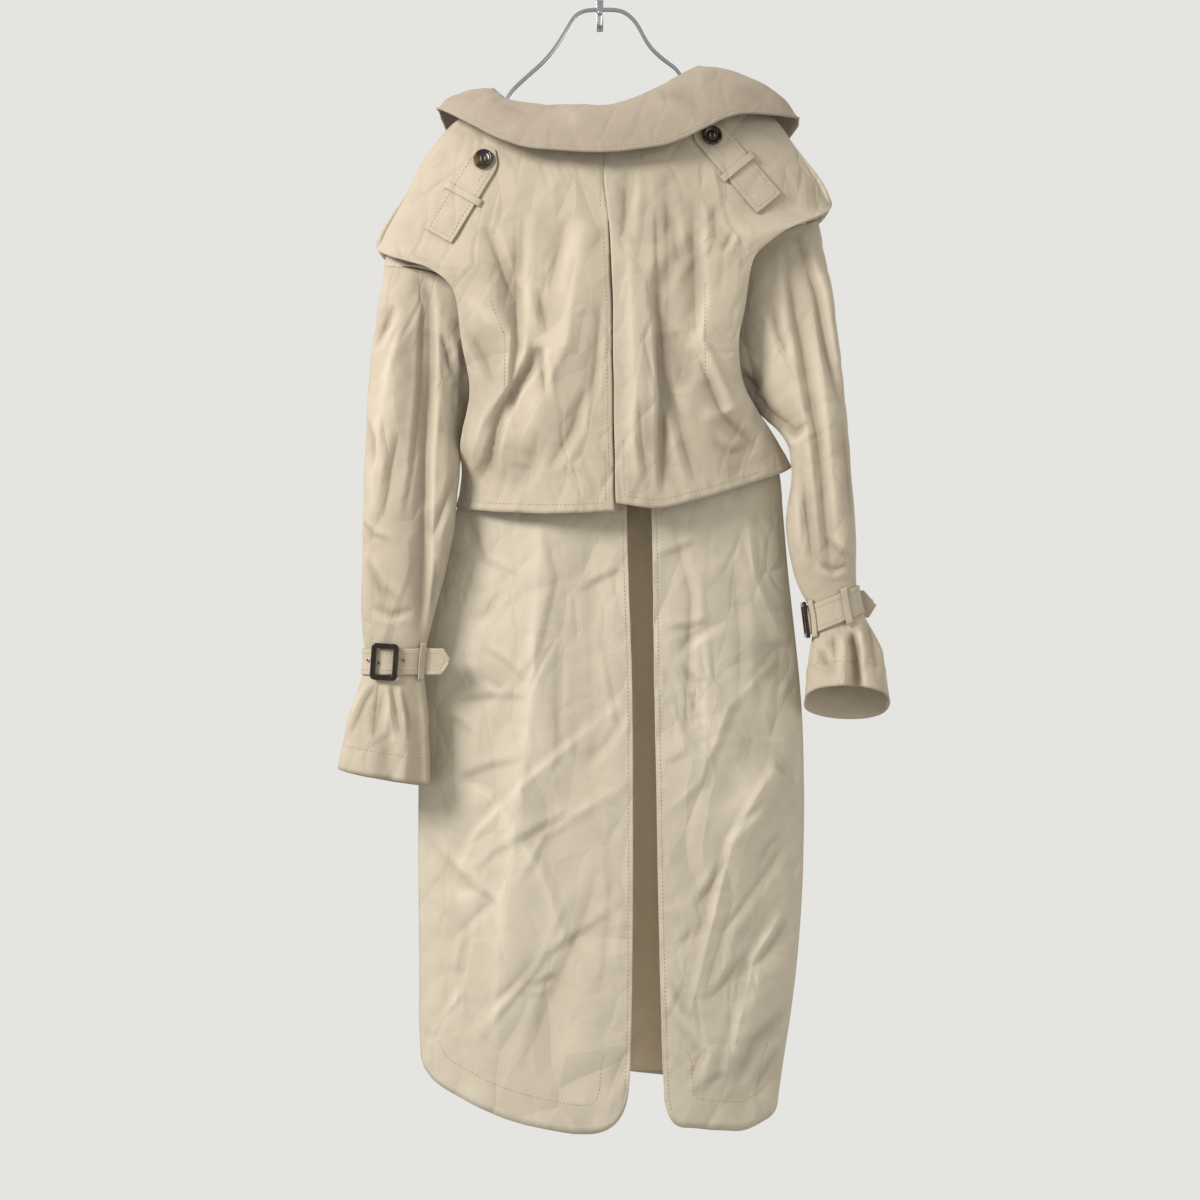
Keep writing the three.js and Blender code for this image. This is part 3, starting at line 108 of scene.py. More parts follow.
ONE_CORNER = 2e-5  # packed corners closer than this are one corner, in metres
RIM_SLACK = 8e-6  # how far an edge across a wall's rim may be off the wall's thickness, in metres
CUFF_MIDDLES = {"left": -0.243, "right": 0.262}  # x of the middle of each cuff, in metres
LOOK_FROM = 0.6  # rays that find a sheet start this far from it, in metres
WAVES_IN_A_UNIT = 0.314  # scale that gives a Wave texture one band in a metre

# A crease: height (above 0 a ridge, below 0 a valley), half width, side of its lip, and its points.
Crease = tuple[float, float, int, tuple[tuple[float, float], ...]]
Region = tuple[float, float, float, float]

# Creases on the side of each piece that is seen from the back, or on its outer side.
CREASES: dict[str, tuple[Crease, ...]] = {
    "back_left": (
        (3.0, 8, 0, ((-64, -577), (-72, -691), (-74, -770), (-86, -875), (-96, -943), (-106, -1006),
                     (-113, -1068), (-117, -1168))),
        (-1.6, 10, 0, ((-12, -587), (-11, -718), (-9, -837), (-7, -935))),
        (-2.3, 4.5, 1, ((-25, -657), (2, -642), (27, -631))),
        (-1.7, 4, 1, ((-131, -714), (-106, -731), (-80, -755))),
        (-1.7, 4, -1, ((-136, -744), (-115, -755), (-97, -768))),
        (-2.3, 4.5, 1, ((-165, -775), (-124, -771), (-78, -772))),
        (-1.6, 4, 1, ((-178, -791), (-157, -798), (-138, -812))),
        (-2.2, 5, 1, ((-157, -862), (-117, -847), (-80, -838))),
        (-1.9, 5, -1, ((-20, -844), (7, -818), (27, -786))),
        (-2.4, 5, 1, ((-112, -944), (-67, -916), (-23, -896))),
        (-1.9, 4.5, 1, ((-135, -964), (-117, -944), (-100, -931))),
        (3.0, 10, 0, ((-158, -992), (-142, -989), (-126, -983))),
        (-2.9, 7, -1, ((0, -948), (-17, -1010), (-42, -1070), (-58, -1106), (-88, -1180))),
        (-2.4, 4.5, 1, ((-63, -1045), (-92, -1081), (-127, -1116))),
        (-1.7, 4, -1, ((-46, -1073), (-54, -1077), (-70, -1086))),
        (-2.3, 6, 1, ((29, -1153), (18, -1178), (8, -1203))),
        (-1.4, 6, 1, ((-44, -707), (-48, -772), (-44, -848))),
        (-1.4, 5, -1, ((-141, -1022), (-150, -1071), (-144, -1131))),
        (2.2, 9, 0, ((-27, -968), (-52, -1022), (-76, -1082))),
        (-1.3, 6, 1, ((13, -968), (7, -1033), (0, -1098))),
        (-1.4, 5, 1, ((-109, -652), (-122, -676), (-141, -694))),
        (-1.3, 4, -1, ((4, -707), (13, -761), (24, -810))),
        (1.9, 5, 1, ((-168, -993), (-135, -919), (-70, -853), (29, -771))),
        (-1.7, 5, 1, ((-135, -1157), (-61, -1059), (29, -993))),
        (1.8, 5, -1, ((-94, -977), (-61, -919), (29, -861))),
        (-2.2, 5, 1, ((-193, -927), (-144, -977), (-119, -993), (-168, -1040))),
        (1.6, 5, 1, ((-190, -1150), (-150, -1092), (-136, -1020))),
        (-1.6, 5, -1, ((-61, -575), (-46, -640), (-64, -720), (-120, -800))),
        (1.5, 5, 1, ((-185, -850), (-120, -880), (-64, -960), (-30, -1060))),
        (-1.5, 4, 1, ((-150, -560), (-128, -620), (-84, -640))),
    ),
    "back_right": (
        (-2.2, 4.5, 1, ((61, -618), (85, -611), (106, -601))),
        (-1.9, 4.5, 1, ((71, -696), (98, -695), (121, -688))),
        (-2.2, 5, -1, ((82, -725), (100, -704), (139, -683))),
        (-1.9, 4.5, 1, ((89, -733), (101, -750), (116, -764))),
        (-1.6, 5, 1, ((71, -844), (87, -838), (100, -831))),
        (-2.9, 16, 0, ((198, -707), (198, -731), (196, -761))),
        (3.4, 9, 0, ((137, -929), (165, -887), (195, -842))),
        (-1.7, 4, -1, ((195, -844), (202, -851), (208, -859))),
        (-2.3, 5, -1, ((136, -925), (160, -900), (179, -881))),
        (-2.3, 5, 1, ((104, -1001), (124, -972), (140, -943))),
        (-1.7, 4.5, 1, ((90, -1041), (96, -1031), (100, -1021))),
        (-2.4, 5.5, 1, ((117, -1103), (139, -1079), (158, -1053))),
        (-2.2, 6, -1, ((154, -1116), (161, -1083), (164, -1051))),
        (-2.4, 5, 1, ((170, -1068), (190, -1042), (208, -1016))),
        (-2.9, 8, 1, ((150, -1191), (170, -1148), (208, -1118))),
        (-1.9, 5, -1, ((77, -1076), (89, -1101), (102, -1123))),
        (-2.2, 6, 1, ((104, -1205), (121, -1192), (137, -1178))),
        (-2.4, 7, 1, ((168, -1208), (185, -1181), (200, -1156))),
        (2.0, 10, 0, ((109, -620), (117, -729), (115, -837), (98, -946))),
        (-1.4, 7, 1, ((147, -620), (154, -707), (152, -794))),
        (-1.4, 6, -1, ((89, -772), (98, -805), (114, -821))),
        (-1.4, 5, 1, ((174, -957), (185, -935), (202, -919))),
        (2.1, 5, 1, ((95, -1124), (144, -927), (193, -845))),
        (-1.8, 5, -1, ((111, -1108), (136, -1025), (210, -927))),
        (2.0, 5, 1, ((136, -1190), (168, -1059), (210, -993))),
        (-1.6, 5, 1, ((70, -1108), (111, -1157), (95, -1190))),
        (1.6, 5, -1, ((66, -900), (110, -860), (140, -780), (204, -720))),
        (-1.6, 5, 1, ((75, -560), (100, -660), (96, -760), (130, -850))),
        (1.5, 5, 1, ((160, -560), (170, -640), (198, -700))),
    ),
    "cape_back_left": (
        (-4.4, 6, 1, ((-93, -266), (-90, -328), (-90, -386), (-100, -463))),
        (-5.7, 5, -1, ((-69, -388), (-78, -412), (-89, -438), (-100, -468))),
        (-4.4, 4.5, 1, ((-68, -389), (-62, -414), (-58, -444))),
        (-2.3, 6, 1, ((-83, -243), (-86, -279), (-87, -314))),
        (-2.6, 7, 1, ((-39, -250), (-47, -290), (-55, -329))),
        (3.9, 10, 0, ((-17, -250), (-36, -386), (-60, -441), (-90, -494))),
        (-2.6, 6, -1, ((-141, -371), (-123, -403), (-113, -431))),
        (-3.1, 6, 1, ((-16, -436), (-30, -479), (-56, -523))),
        (-2.6, 5, 1, ((2, -338), (-4, -403), (-11, -468))),
        (-2.6, 6, -1, ((-108, -479), (-117, -506), (-132, -533))),
        (-2.1, 5, 1, ((11, -230), (6, -268), (4, -297))),
        (-2.1, 8, 1, ((-65, -479), (-76, -517), (-95, -544))),
        (-5.5, 6, 1, ((-57, -384), (-80, -416), (-106, -455), (-119, -501), (-119, -527))),
        (4.5, 9, 0, ((-152, -325), (-119, -358), (-97, -371), (-100, -430), (-126, -468), (-145, -520))),
        (-4.0, 6, 1, ((-126, -254), (-109, -293), (-93, -338))),
        (-3.5, 5, -1, ((-67, -325), (-57, -377))),
    ),
    "cape_back_right": (
        (-3.4, 7, 1, ((101, -225), (103, -301), (104, -380))),
        (-5.5, 12, 1, ((82, -371), (84, -399), (91, -434))),
        (4.2, 8, 0, ((107, -468), (136, -458), (164, -444))),
        (-3.9, 6, -1, ((69, -420), (87, -474), (105, -539))),
        (-2.6, 5, 1, ((60, -230), (62, -295), (61, -360))),
        (2.6, 9, 0, ((32, -274), (36, -382), (39, -533))),
        (-2.6, 5, 1, ((121, -490), (141, -503), (165, -497))),
        (-2.3, 5, 1, ((74, -230), (80, -263), (87, -297))),
        (-2.3, 5, -1, ((125, -230), (126, -265), (117, -295))),
        (-2.6, 5, -1, ((43, -447), (45, -490), (52, -533))),
        (-6.0, 5, -1, ((62, -330), (68, -420), (69, -552))),
        (-3.5, 8, -1, ((73, -196), (73, -390))),
        (-3.0, 7, 1, ((31, -196), (25, -274))),
        (4.5, 8, 0, ((115, -325), (111, -384), (141, -442), (167, -462))),
        (-5.0, 6, 1, ((102, -390), (134, -462), (173, -495))),
        (-3.0, 4, 1, ((144, -260), (134, -286))),
    ),
    "sleeve_left": (
        (-6.3, 5, 1, ((-195, -298), (-188, -338), (-186, -387), (-186, -420), (-190, -509),
                      (-191, -614), (-194, -683), (-197, -702))),
        (-2.5, 3.5, -1, ((-193, -316), (-195, -430), (-203, -522), (-212, -575))),
        (4.2, 8, 0, ((-212, -343), (-230, -420), (-238, -483), (-248, -575))),
        (-3.1, 4, 1, ((-156, -525), (-169, -561), (-184, -601))),
        (-3.9, 5, 1, ((-226, -338), (-234, -362), (-247, -387))),
        (-3.4, 5, -1, ((-217, -479), (-226, -522), (-234, -576))),
        (-3.4, 5, 1, ((-254, -620), (-237, -652), (-213, -668))),
        (-3.4, 4, -1, ((-247, -670), (-226, -680), (-202, -674))),
        (-3.4, 5, 1, ((-174, -370), (-167, -392), (-161, -416))),
        (-3.4, 5, 1, ((-176, -620), (-180, -652), (-182, -690))),
        (-2.8, 5, 1, ((-234, -761), (-239, -788), (-243, -813))),
        (-3.6, 5, -1, ((-213, -759), (-208, -785), (-206, -817))),
        (-3.4, 5, 1, ((-256, -468), (-247, -490), (-243, -522))),
        (-2.8, 4, 1, ((-263, -576), (-247, -594), (-226, -602))),
        (-2.2, 3, 0, ((-240, -738), (-242, -770), (-245, -812))),
        (-4.5, 4, 1, ((-228, -742), (-222, -775), (-214, -815))),
        (3.5, 7, 0, ((-232, -745), (-226, -790), (-218, -830))),
        (-3.5, 4, -1, ((-236, -742), (-256, -775), (-272, -812))),
    ),
    "sleeve_right": (
        (-5.0, 5, 1, ((214, -255), (237, -327), (247, -392), (263, -453))),
        (-5.0, 5, -1, ((203, -273), (221, -392), (230, -451), (237, -491), (250, -631))),
        (3.9, 8, 0, ((224, -273), (239, -392), (247, -468), (260, -620))),
        (-3.9, 5, 1, ((263, -468), (271, -522), (273, -576))),
        (-3.4, 5, -1, ((219, -522), (224, -566), (230, -620))),
        (-9.0, 4, 1, ((261, -655), (270, -685), (277, -718), (280, -771))),
        (5.0, 8, 0, ((262, -690), (264, -720), (262, -760))),
        (-3.5, 4, -1, ((241, -672), (252, -700), (256, -740))),
        (-3.6, 4, 1, ((245, -598), (260, -611), (273, -620))),
        (-3.4, 4, -1, ((237, -622), (254, -631), (271, -626))),
        (-3.1, 5, 1, ((230, -707), (241, -728), (256, -746))),
        (-3.4, 5, 1, ((291, -674), (297, -707), (299, -737))),
        (-3.4, 5, 1, ((187, -338), (195, -370), (208, -398))),
        (-3.4, 5, -1, ((245, -674), (247, -707), (243, -737))),
        (-8.0, 6, 0, ((154, -414), (165, -426), (174, -432))),
        (-7.0, 6, -1, ((167, -432), (187, -461), (212, -480), (228, -470))),
        (5.0, 11, 0, ((174, -340), (200, -403), (222, -455))),
    ),
    "front_left": (
        (3.0, 12, 0, ((-70, -330), (-86, -520), (-100, -760), (-112, -1080))),
        (-3.2, 7, 1, ((-140, -470), (-110, -560), (-84, -610))),
        (-3.0, 7, -1, ((-160, -720), (-120, -760), (-70, -772))),
        (-2.8, 6, 1, ((-60, -820), (-96, -880), (-150, -905))),
        (-3.4, 8, 1, ((-40, -900), (-66, -1010), (-110, -1130))),
        (-2.6, 6, -1, ((-176, -960), (-150, -1010), (-128, -1080))),
        (-2.4, 6, 1, ((-30, -640), (-58, -700), (-64, -770))),
    ),
    "front_right": (
        (3.0, 12, 0, ((84, -300), (96, -520), (108, -760), (126, -1080))),
        (-3.2, 7, -1, ((150, -450), (124, -540), (92, -600))),
        (-2.8, 6, 1, ((60, -700), (98, -730), (150, -724))),
        (-3.2, 7, 1, ((176, -800), (140, -860), (96, -884))),
        (-3.4, 8, -1, ((40, -860), (70, -980), (104, -1110))),
        (-2.6, 6, 1, ((190, -930), (166, -1000), (150, -1090))),
        (-2.4, 6, 1, ((-10, -760), (12, -850), (18, -960))),
    ),
    "collar_leaf": (
        (-1.6, 9, 1, ((-120, -112), (-96, -124), (-70, -140))),
        (-1.4, 8, -1, ((60, -104), (84, -112), (110, -128))),
        (1.4, 12, 0, ((-40, -120), (-30, -136), (-22, -152))),
        (-1.4, 8, 1, ((150, -96), (166, -104), (186, -110))),
    ),
}
# Creases on the wall side of a sleeve.
FAR_CREASES: dict[str, tuple[Crease, ...]] = {
    "sleeve_left": (
        (-3.4, 6, 1, ((-214, -330), (-222, -450), (-232, -560))),
        (-2.8, 6, -1, ((-250, -470), (-232, -500), (-206, -512))),
        (-2.6, 6, 1, ((-256, -570), (-234, -594), (-212, -596))),
        (-2.8, 6, 1, ((-262, -650), (-240, -668), (-214, -662))),
        (-2.2, 6, -1, ((-228, -760), (-224, -800), (-230, -836))),
    ),
    "sleeve_right": (
        (-3.4, 6, 1, ((222, -290), (240, -420), (254, -540))),
        (-2.8, 6, -1, ((268, -420), (250, -450), (228, -458))),
        (-2.6, 6, 1, ((276, -520), (258, -540), (236, -536))),
        (-2.2, 6, 1, ((262, -690), (268, -720), (266, -748))),
    ),
}


class Facing(Enum):
    """Which of a wall's two sheets is its outer one."""

    BACK = "back"
    FRONT = "front"
    UP = "up"
    ROUND_SELF = "round_self"
    ROUND_SLEEVE = "round_sleeve"


WAYS_OUT = {
    Facing.BACK: Vector((0, -1, 0)),
    Facing.FRONT: Vector((0, 1, 0)),
    Facing.UP: Vector((0, -0.3, 1)),
}


class Palette(Enum):
    """Base colours of the finishes, as linear red, green and blue."""

    CLOTH = (0.452, 0.399, 0.311)
    # The same cloth made darker for the cape, sleeves and straps, as painted shade on the upper pieces.
    UPPER_PAINTED_SHADE = (0.400, 0.342, 0.258)
    # Darker collar cloth: partly its own tone, partly painted shade on the top of the coat.
    COLLAR = (0.315, 0.260, 0.198)
    # The same cloth made lighter for the deep pleats, as painted light against their shade.
    PLEAT_PAINTED_LIGHT = (0.62, 0.505, 0.350)
    THREAD = (0.295, 0.243, 0.168)
    HORN_DARK = (0.012, 0.008, 0.006)
    HORN_LIGHT = (0.14, 0.070, 0.024)
    TORTOISE_DARK = (0.012, 0.005, 0.003)
    TORTOISE_LIGHT = (0.060, 0.022, 0.009)
    CHROME = (0.36, 0.37, 0.385)
    EYELET = (0.40, 0.34, 0.245)
    FLOOR = (0.475, 0.473, 0.460)
    WORLD = (0.78, 0.775, 0.745)


# ---------- shader sums ----------
def _operator(operation: str, swapped: bool = False) -> Callable[["Value", object], "Value"]:
    """Makes the method that stands for one of Python's operators.

    Args:
        operation: Name of the Math node's operation.
        swapped: Whether the value is the operator's second number.

    Returns:
        The method.
    """
    def apply(self: "Value", other: object) -> "Value":
        """Adds a Math node.

        Args:
            other: The operator's other number or value.

        Returns:
            The result as a value.
        """
        pair = [other, self] if swapped else [self, other]
        return self.net.add("ShaderNodeMath", {"operation": operation}, pair)
    return apply


@dataclass
class Value:
    """An output socket of a shader's node, which takes part in Python sums."""

    net: "Net"
    out: bpy.types.NodeSocket
    __add__ = __radd__ = _operator("ADD")
    __mul__ = __rmul__ = _operator("MULTIPLY")
    __sub__ = _operator("SUBTRACT")
    __rsub__ = _operator("SUBTRACT", swapped=True)


class Net:
    """A material's node tree, built call by call."""

    def __init__(self, name: str) -> None:
        """Starts a material with one Principled shader.

        Args:
            name: Name of the material.
        """
        self.material = bpy.data.materials.new(name)
        self.material.use_nodes = True
        self.tree = self.material.node_tree
        self.shader = self.tree.nodes["Principled BSDF"]

    def feed(self, socket: bpy.types.NodeSocket, source: object) -> None:
        """Links a value to a socket, or sets the socket to a plain number or colour.

        Args:
            socket: Input socket.
            source: Value, output socket, number or tuple.
        """
        if isinstance(source, Value):
            self.tree.links.new(source.out, socket)
        elif isinstance(source, tuple) and len(source) == 3 and socket.type == "RGBA":
            socket.default_value = (*source, 1.0)
        else:
            socket.default_value = source

    def add(self, kind: str, settings: dict[str, object], inputs: object = (), output: object = 0) -> Value:
        """Adds a node.

        Args:
            kind: Type of the node.
            settings: Settings of the node, set before its sockets.
            inputs: List by socket number, or dict by socket name or number.
            output: Name or number of the output to return.

        Returns:
            The output as a value.
        """
        node = self.tree.nodes.new(kind)
        for key, setting in settings.items():
            setattr(node, key, setting)
        pairs = inputs.items() if isinstance(inputs, dict) else enumerate(inputs)
        for key, source in pairs:
            self.feed(node.inputs[key], source)
        return Value(self, node.outputs[output])

    def place(self) -> Value:
        """The point of the surface in the object's own coordinates.

        Returns:
            The point.
        """
        return self.add("ShaderNodeTexCoord", {}, output="Object")

    def noise(self, at: Value, scale: float, detail: float = 3.0, rough: float = 0.55) -> Value:
        """Soft noise.

        Args:
            at: Point where it is read.
            scale: Number of blotches in a metre.
            detail: Number of finer layers.
            rough: Strength of the finer layers.

        Returns:
            A value from 0 to 1.
        """
        return self.add("ShaderNodeTexNoise", {},
                        {"Vector": at, "Scale": scale, "Detail": detail, "Roughness": rough})

    def facets(self, at: Value, warp: Value, scale: float, width: float) -> Value:
        """Flat facets with crisp dents between them, as in cloth that was folded away.

        Args:
            at: Point where it is read.
            warp: Noise that bends the dents.
            scale: Number of facets in a metre.
            width: Half width of a dent, as a share of a facet.

        Returns:
            A height from 0 in the dents to 1 on the facets.
        """
        bend, slant, stretch = 0.07, math.radians(32.0), 0.55
        bent = self.add("ShaderNodeVectorMath", {"operation": "MULTIPLY_ADD"}, [warp, (bend, bend, bend), at])
        slanted = self.add("ShaderNodeMapping", {},
                           {"Vector": bent, "Rotation": (0.0, slant, 0.0), "Scale": (1.0, 1.0, stretch)})
        gap = self.add("ShaderNodeTexVoronoi", {"feature": "DISTANCE_TO_EDGE"},
                       {"Vector": slanted, "Scale": scale}, output="Distance")
        return self.spread(gap, 0.0, width)

    def spread(self, value: Value, low: float, high: float, to_low: float = 0.0,
               to_high: float = 1.0) -> Value:
        """Stretches a value between two bounds.

        Args:
            value: Value to stretch.
            low: Value that becomes to_low.
            high: Value that becomes to_high.
            to_low: Lower result.
            to_high: Upper result.

        Returns:
            The clamped result.
        """
        return self.add("ShaderNodeMapRange", {"clamp": True}, [value, low, high, to_low, to_high])

    def blend(self, share: object, first: object, second: object) -> Value:
        """Mixes two colours.

        Args:
            share: How much of the second shows.
            first: First colour.
            second: Second colour.

        Returns:
            The mixed colour.
        """
        factor, colours, mixed = 0, (6, 7), 2  # the Mix node's sockets for colours
        return self.add("ShaderNodeMix", {"data_type": "RGBA"},
                        {factor: share, colours[0]: first, colours[1]: second}, output=mixed)

    def bump(self, height: Value, strength: float, distance: float, under: Value | None = None) -> Value:
        """Raises the surface by a height, on top of another bump.

        Args:
            height: Height from 0 to 1.
            strength: Strength of the bump.
            distance: Height in metres that 1 stands for.
            under: Normal of a coarser bump.

        Returns:
            The new normal.
        """
        inputs: dict[str, object] = {"Strength": strength, "Distance": distance, "Height": height}
        if under is not None:
            inputs["Normal"] = under
        return self.add("ShaderNodeBump", {}, inputs, output="Normal")

    def attribute(self, name: str) -> Value:
        """A number that the mesh keeps at each point.

        Args:
            name: Name of the attribute.

        Returns:
            The number.
        """
        return self.add("ShaderNodeAttribute", {"attribute_name": name}, output="Fac")

    def finish(self, **sockets: object) -> bpy.types.Material:
        """Sets the shader's sockets.

        Args:
            sockets: Values by socket name, with spaces written as underscores.

        Returns:
            The material.
        """
        for key, source in sockets.items():
            self.feed(self.shader.inputs[key.replace("_", " ")], source)
        return self.material


@dataclass(frozen=True)
class ClothFinish:
    """Beige cotton twill with soft sheen, rubbed edges that also carry painted shade, and painted shade and
    light on its folds and crease dents.
    """

    name: str
    colour: tuple[float, float, float]
    twill_pitch: float = 1.1
    blotches: float = 7.0
    mottle: float = 42.0
    warp: float = 9.0
    facets: float = 14.0
    crumple: float = 85.0
    relief: float = 0.0040
    # Darker tint: painted shade in fold valleys and crease dents, and also the twill's darker lines.
    painted_shade_and_twill_tint: tuple[float, float, float] = (0.60, 0.575, 0.54)
    shaded_tint: tuple[float, float, float] = (0.90, 0.885, 0.86)
    # Edge tint: rubbed edges and seams, painted darker as shade too.
    rubbed_and_shade_tint: tuple[float, float, float] = (0.80, 0.775, 0.735)
    # Lighter share: painted light on fold ridges, and also the lighter random mottle.
    painted_light_and_mottle_share: float = 1.08

    def make(self) -> bpy.types.Material:
        """The finish as a material.

        Returns:
            The material.
        """
        net = Net(self.name)
        at = net.place()
        twill_slant = (0.0, math.radians(58.0), 0.0)
        turned = net.add("ShaderNodeMapping", {}, {"Vector": at, "Rotation": twill_slant})
        bands = WAVES_IN_A_UNIT / (self.twill_pitch * MM)
        twill = net.add("ShaderNodeTexWave", {"wave_type": "BANDS", "bands_direction": "X"},
                        {"Vector": turned, "Scale": bands, "Distortion": 0.6, "Detail": 1.0}, output="Fac")
        yarn = net.noise(at, 900.0, 1.0)
        blotch = net.noise(at, self.blotches, 3.0)
        mottle = net.noise(at, self.mottle, 4.0, 0.6)
        warp = net.noise(at, self.warp, 0.6, 0.4)
        facets = net.facets(at, warp, self.facets, 0.26)
        creases = net.facets(at, warp, self.facets * 2.3, 0.16)
        # Darker copy for painted shade and the twill's lines; blotch copy is random tone; rubbed copy also
        # carries painted shade.
        dark, shaded, rubbed_and_shaded = (tuple(c * f for c, f in zip(self.colour, tint))
                              for tint in (self.painted_shade_and_twill_tint, self.shaded_tint, self.rubbed_and_shade_tint))
        light = tuple(min(1.0, c * self.painted_light_and_mottle_share) for c in self.colour)
        # Painted shade in fold valleys and painted light on fold ridges, read from the fold attribute.
        shade = net.spread(net.attribute("fold") * 0.5 + 0.5, 0.05, 0.8)
        colour = net.blend(shade, dark, light)
        # Painted shade: the dents between facets are coloured darker.
        colour = net.blend(net.spread(facets, 0.0, 0.5, 0.09, 0.0), colour, dark)
        colour = net.blend(net.spread(blotch, 0.35, 0.7, 0.0, 0.35), colour, shaded)
        colour = net.blend(net.spread(mottle, 0.4, 0.75, 0.0, 0.25), colour, light)
        # Edges and seams darkened: partly rubbing, partly painted shade.
        rubbing_and_edge_shade = net.attribute("edge") * net.spread(mottle, 0.35, 0.65, 0.15, 0.6)
        colour = net.blend(rubbing_and_edge_shade, colour, rubbed_and_shaded)
        colour = net.blend(net.spread(twill, 0.0, 1.0, 0.10, 0.0), colour, dark)
        patches = net.spread(blotch, 0.38, 0.60, 0.3, 1.0)
        normal = net.bump(facets * patches + creases * (1.0 - patches) * 0.4, 0.85, self.relief)
        normal = net.bump(net.noise(at, self.crumple, 3.0, 0.5), 0.12, 0.0020, normal)
        normal = net.bump(twill * 0.7 + yarn * 0.3, 0.22, 0.0003, normal)
        rough = net.spread(mottle, 0.3, 0.7, 0.80, 0.92)
        return net.finish(Base_Color=colour, Roughness=rough, Normal=normal, Sheen_Weight=0.08,
                          Sheen_Roughness=0.5, Sheen_Tint=(1.0, 0.98, 0.94))


@dataclass(frozen=True)
class ThreadFinish:
    """Matte cotton sewing thread with its twist."""

    name: str

    def make(self) -> bpy.types.Material:
        """The finish as a material.

        Returns:
            The material.
        """
        net = Net(self.name)
        at = net.place()
        tone = net.spread(net.noise(at, 60.0, 2.0), 0.3, 0.7)
        colour = net.blend(tone, Palette.THREAD.value, tuple(c * 1.22 for c in Palette.THREAD.value))
        normal = net.bump(net.noise(at, 1800.0, 1.0), 0.3, 0.0002)
        return net.finish(Base_Color=colour, Roughness=0.8, Normal=normal, Sheen_Weight=0.15)


@dataclass(frozen=True)
class HornFinish:
    """Glossy marbled resin that looks like dark horn or tortoiseshell."""

    name: str
    dark: tuple[float, float, float]
    light: tuple[float, float, float]
    veins: float = 130.0
    share: float = 0.5

    def make(self) -> bpy.types.Material:
        """The finish as a material.

        Returns:
            The material.
        """
        net = Net(self.name)
        at = net.place()
        swirl = net.noise(at, self.veins, 4.0, 0.65)
        cloud = net.noise(at, self.veins * 0.35, 2.0)
        veins = net.spread(swirl * 0.6 + cloud * 0.4, self.share, self.share + 0.18)
        colour = net.blend(veins, self.dark, self.light)
        normal = net.bump(net.noise(at, 700.0, 2.0), 0.08, 0.0002)
        rough = net.spread(swirl, 0.3, 0.7, 0.12, 0.22)
        return net.finish(Base_Color=colour, Roughness=rough, Normal=normal, Coat_Weight=0.0, IOR=1.38)


@dataclass(frozen=True)
class MetalFinish:
    """Bright or darkened metal with fine scratches."""

    name: str
    colour: tuple[float, float, float]
    rough: float

    def make(self) -> bpy.types.Material:
        """The finish as a material.

        Returns:
            The material.
        """
        net = Net(self.name)
        at = net.place()
        streak = net.add("ShaderNodeMapping", {}, {"Vector": at, "Scale": (6.0, 6.0, 1.0)})
        scratch = net.noise(streak, 160.0, 3.0)
        tone = net.spread(scratch, 0.35, 0.75)
        colour = net.blend(tone, self.colour, tuple(c * 0.82 for c in self.colour))
        return net.finish(Base_Color=colour, Metallic=1.0,
                          Roughness=net.spread(scratch, 0.3, 0.75, self.rough, self.rough + 0.14),
                          Normal=net.bump(scratch, 0.05, 0.0002))


@dataclass(frozen=True)
class FloorFinish:
    """Plain pale studio floor."""

    name: str

    def make(self) -> bpy.types.Material:
        """The finish as a material.

        Returns:
            The material.
        """
        net = Net(self.name)
        tone = net.spread(net.noise(net.place(), 1.2, 2.0), 0.3, 0.7)
        colour = net.blend(tone, Palette.FLOOR.value, tuple(c * 0.98 for c in Palette.FLOOR.value))
        return net.finish(Base_Color=colour, Roughness=0.85)


# ---------- cloth ----------
@dataclass(frozen=True)
class EdgeRow:
    """A row of stitches that follows a piece's edge at a distance, inside a region seen from the back."""

    inset: float
    region: Region = (-400.0, 400.0, -1400.0, 100.0)
    near: bool | None = None
    rim: Region | None = None


@dataclass(frozen=True)
class FreeRow:
    """A row of stitches along a line that is laid on a piece from the near or the far side."""

    points: tuple[tuple[float, float], ...]
    near: bool = True


@dataclass(frozen=True)
class SkinPlan:
    """What a cloth piece is grown from, how it was cut, and what happens on it."""

    node: str
    flat: tuple[float, float]
    held: str
    rests_on: tuple[str, ...]
    area: float | None = None
    facing: Facing = Facing.BACK
    wall: float = CLOTH_WALL
    levels: int = 3
    waves: float = 1.0
    riders: tuple[str, ...] = ()
    sunk_above: float | None = None
    rows: tuple[EdgeRow, ...] = ()
    lines: tuple[FreeRow, ...] = ()
    palette: Palette = Palette.CLOTH
    pointed: bool = False
    sink: float = 0.0

    @property
    def creases(self) -> tuple[Crease, ...]:
        """Creases of its outer side.

        Returns:
            The creases.
        """
        return CREASES.get(self.node, ())

    @property
    def far_creases(self) -> tuple[Crease, ...]:
        """Creases of its wall side.

        Returns:
            The creases.
        """
        return FAR_CREASES.get(self.node, ())


def smooth_step(values: np.ndarray, low: float, high: float) -> np.ndarray:
    """Eases values from 0 at one bound to 1 at the other.

    Args:
        values: Values to ease.
        low: Bound that gives 0.
        high: Bound that gives 1.

    Returns:
        The eased values.
    """
    share = np.clip((values - low) / (high - low), 0.0, 1.0)
    return share * share * (3.0 - 2.0 * share)


def gaps_to(spots: Sequence[np.ndarray], points: np.ndarray) -> np.ndarray:
    """Distance of points from the nearest of some spots.

    Args:
        spots: Spots to measure to, in metres.
        points: Points to measure from, in metres.

    Returns:
        One distance for each point, in millimetres.
    """
    tree = KDTree(len(spots))
    for spot in spots:
        tree.insert(spot, 0)
    tree.balance()
    return np.array([tree.find(p)[2] for p in points]) / MM


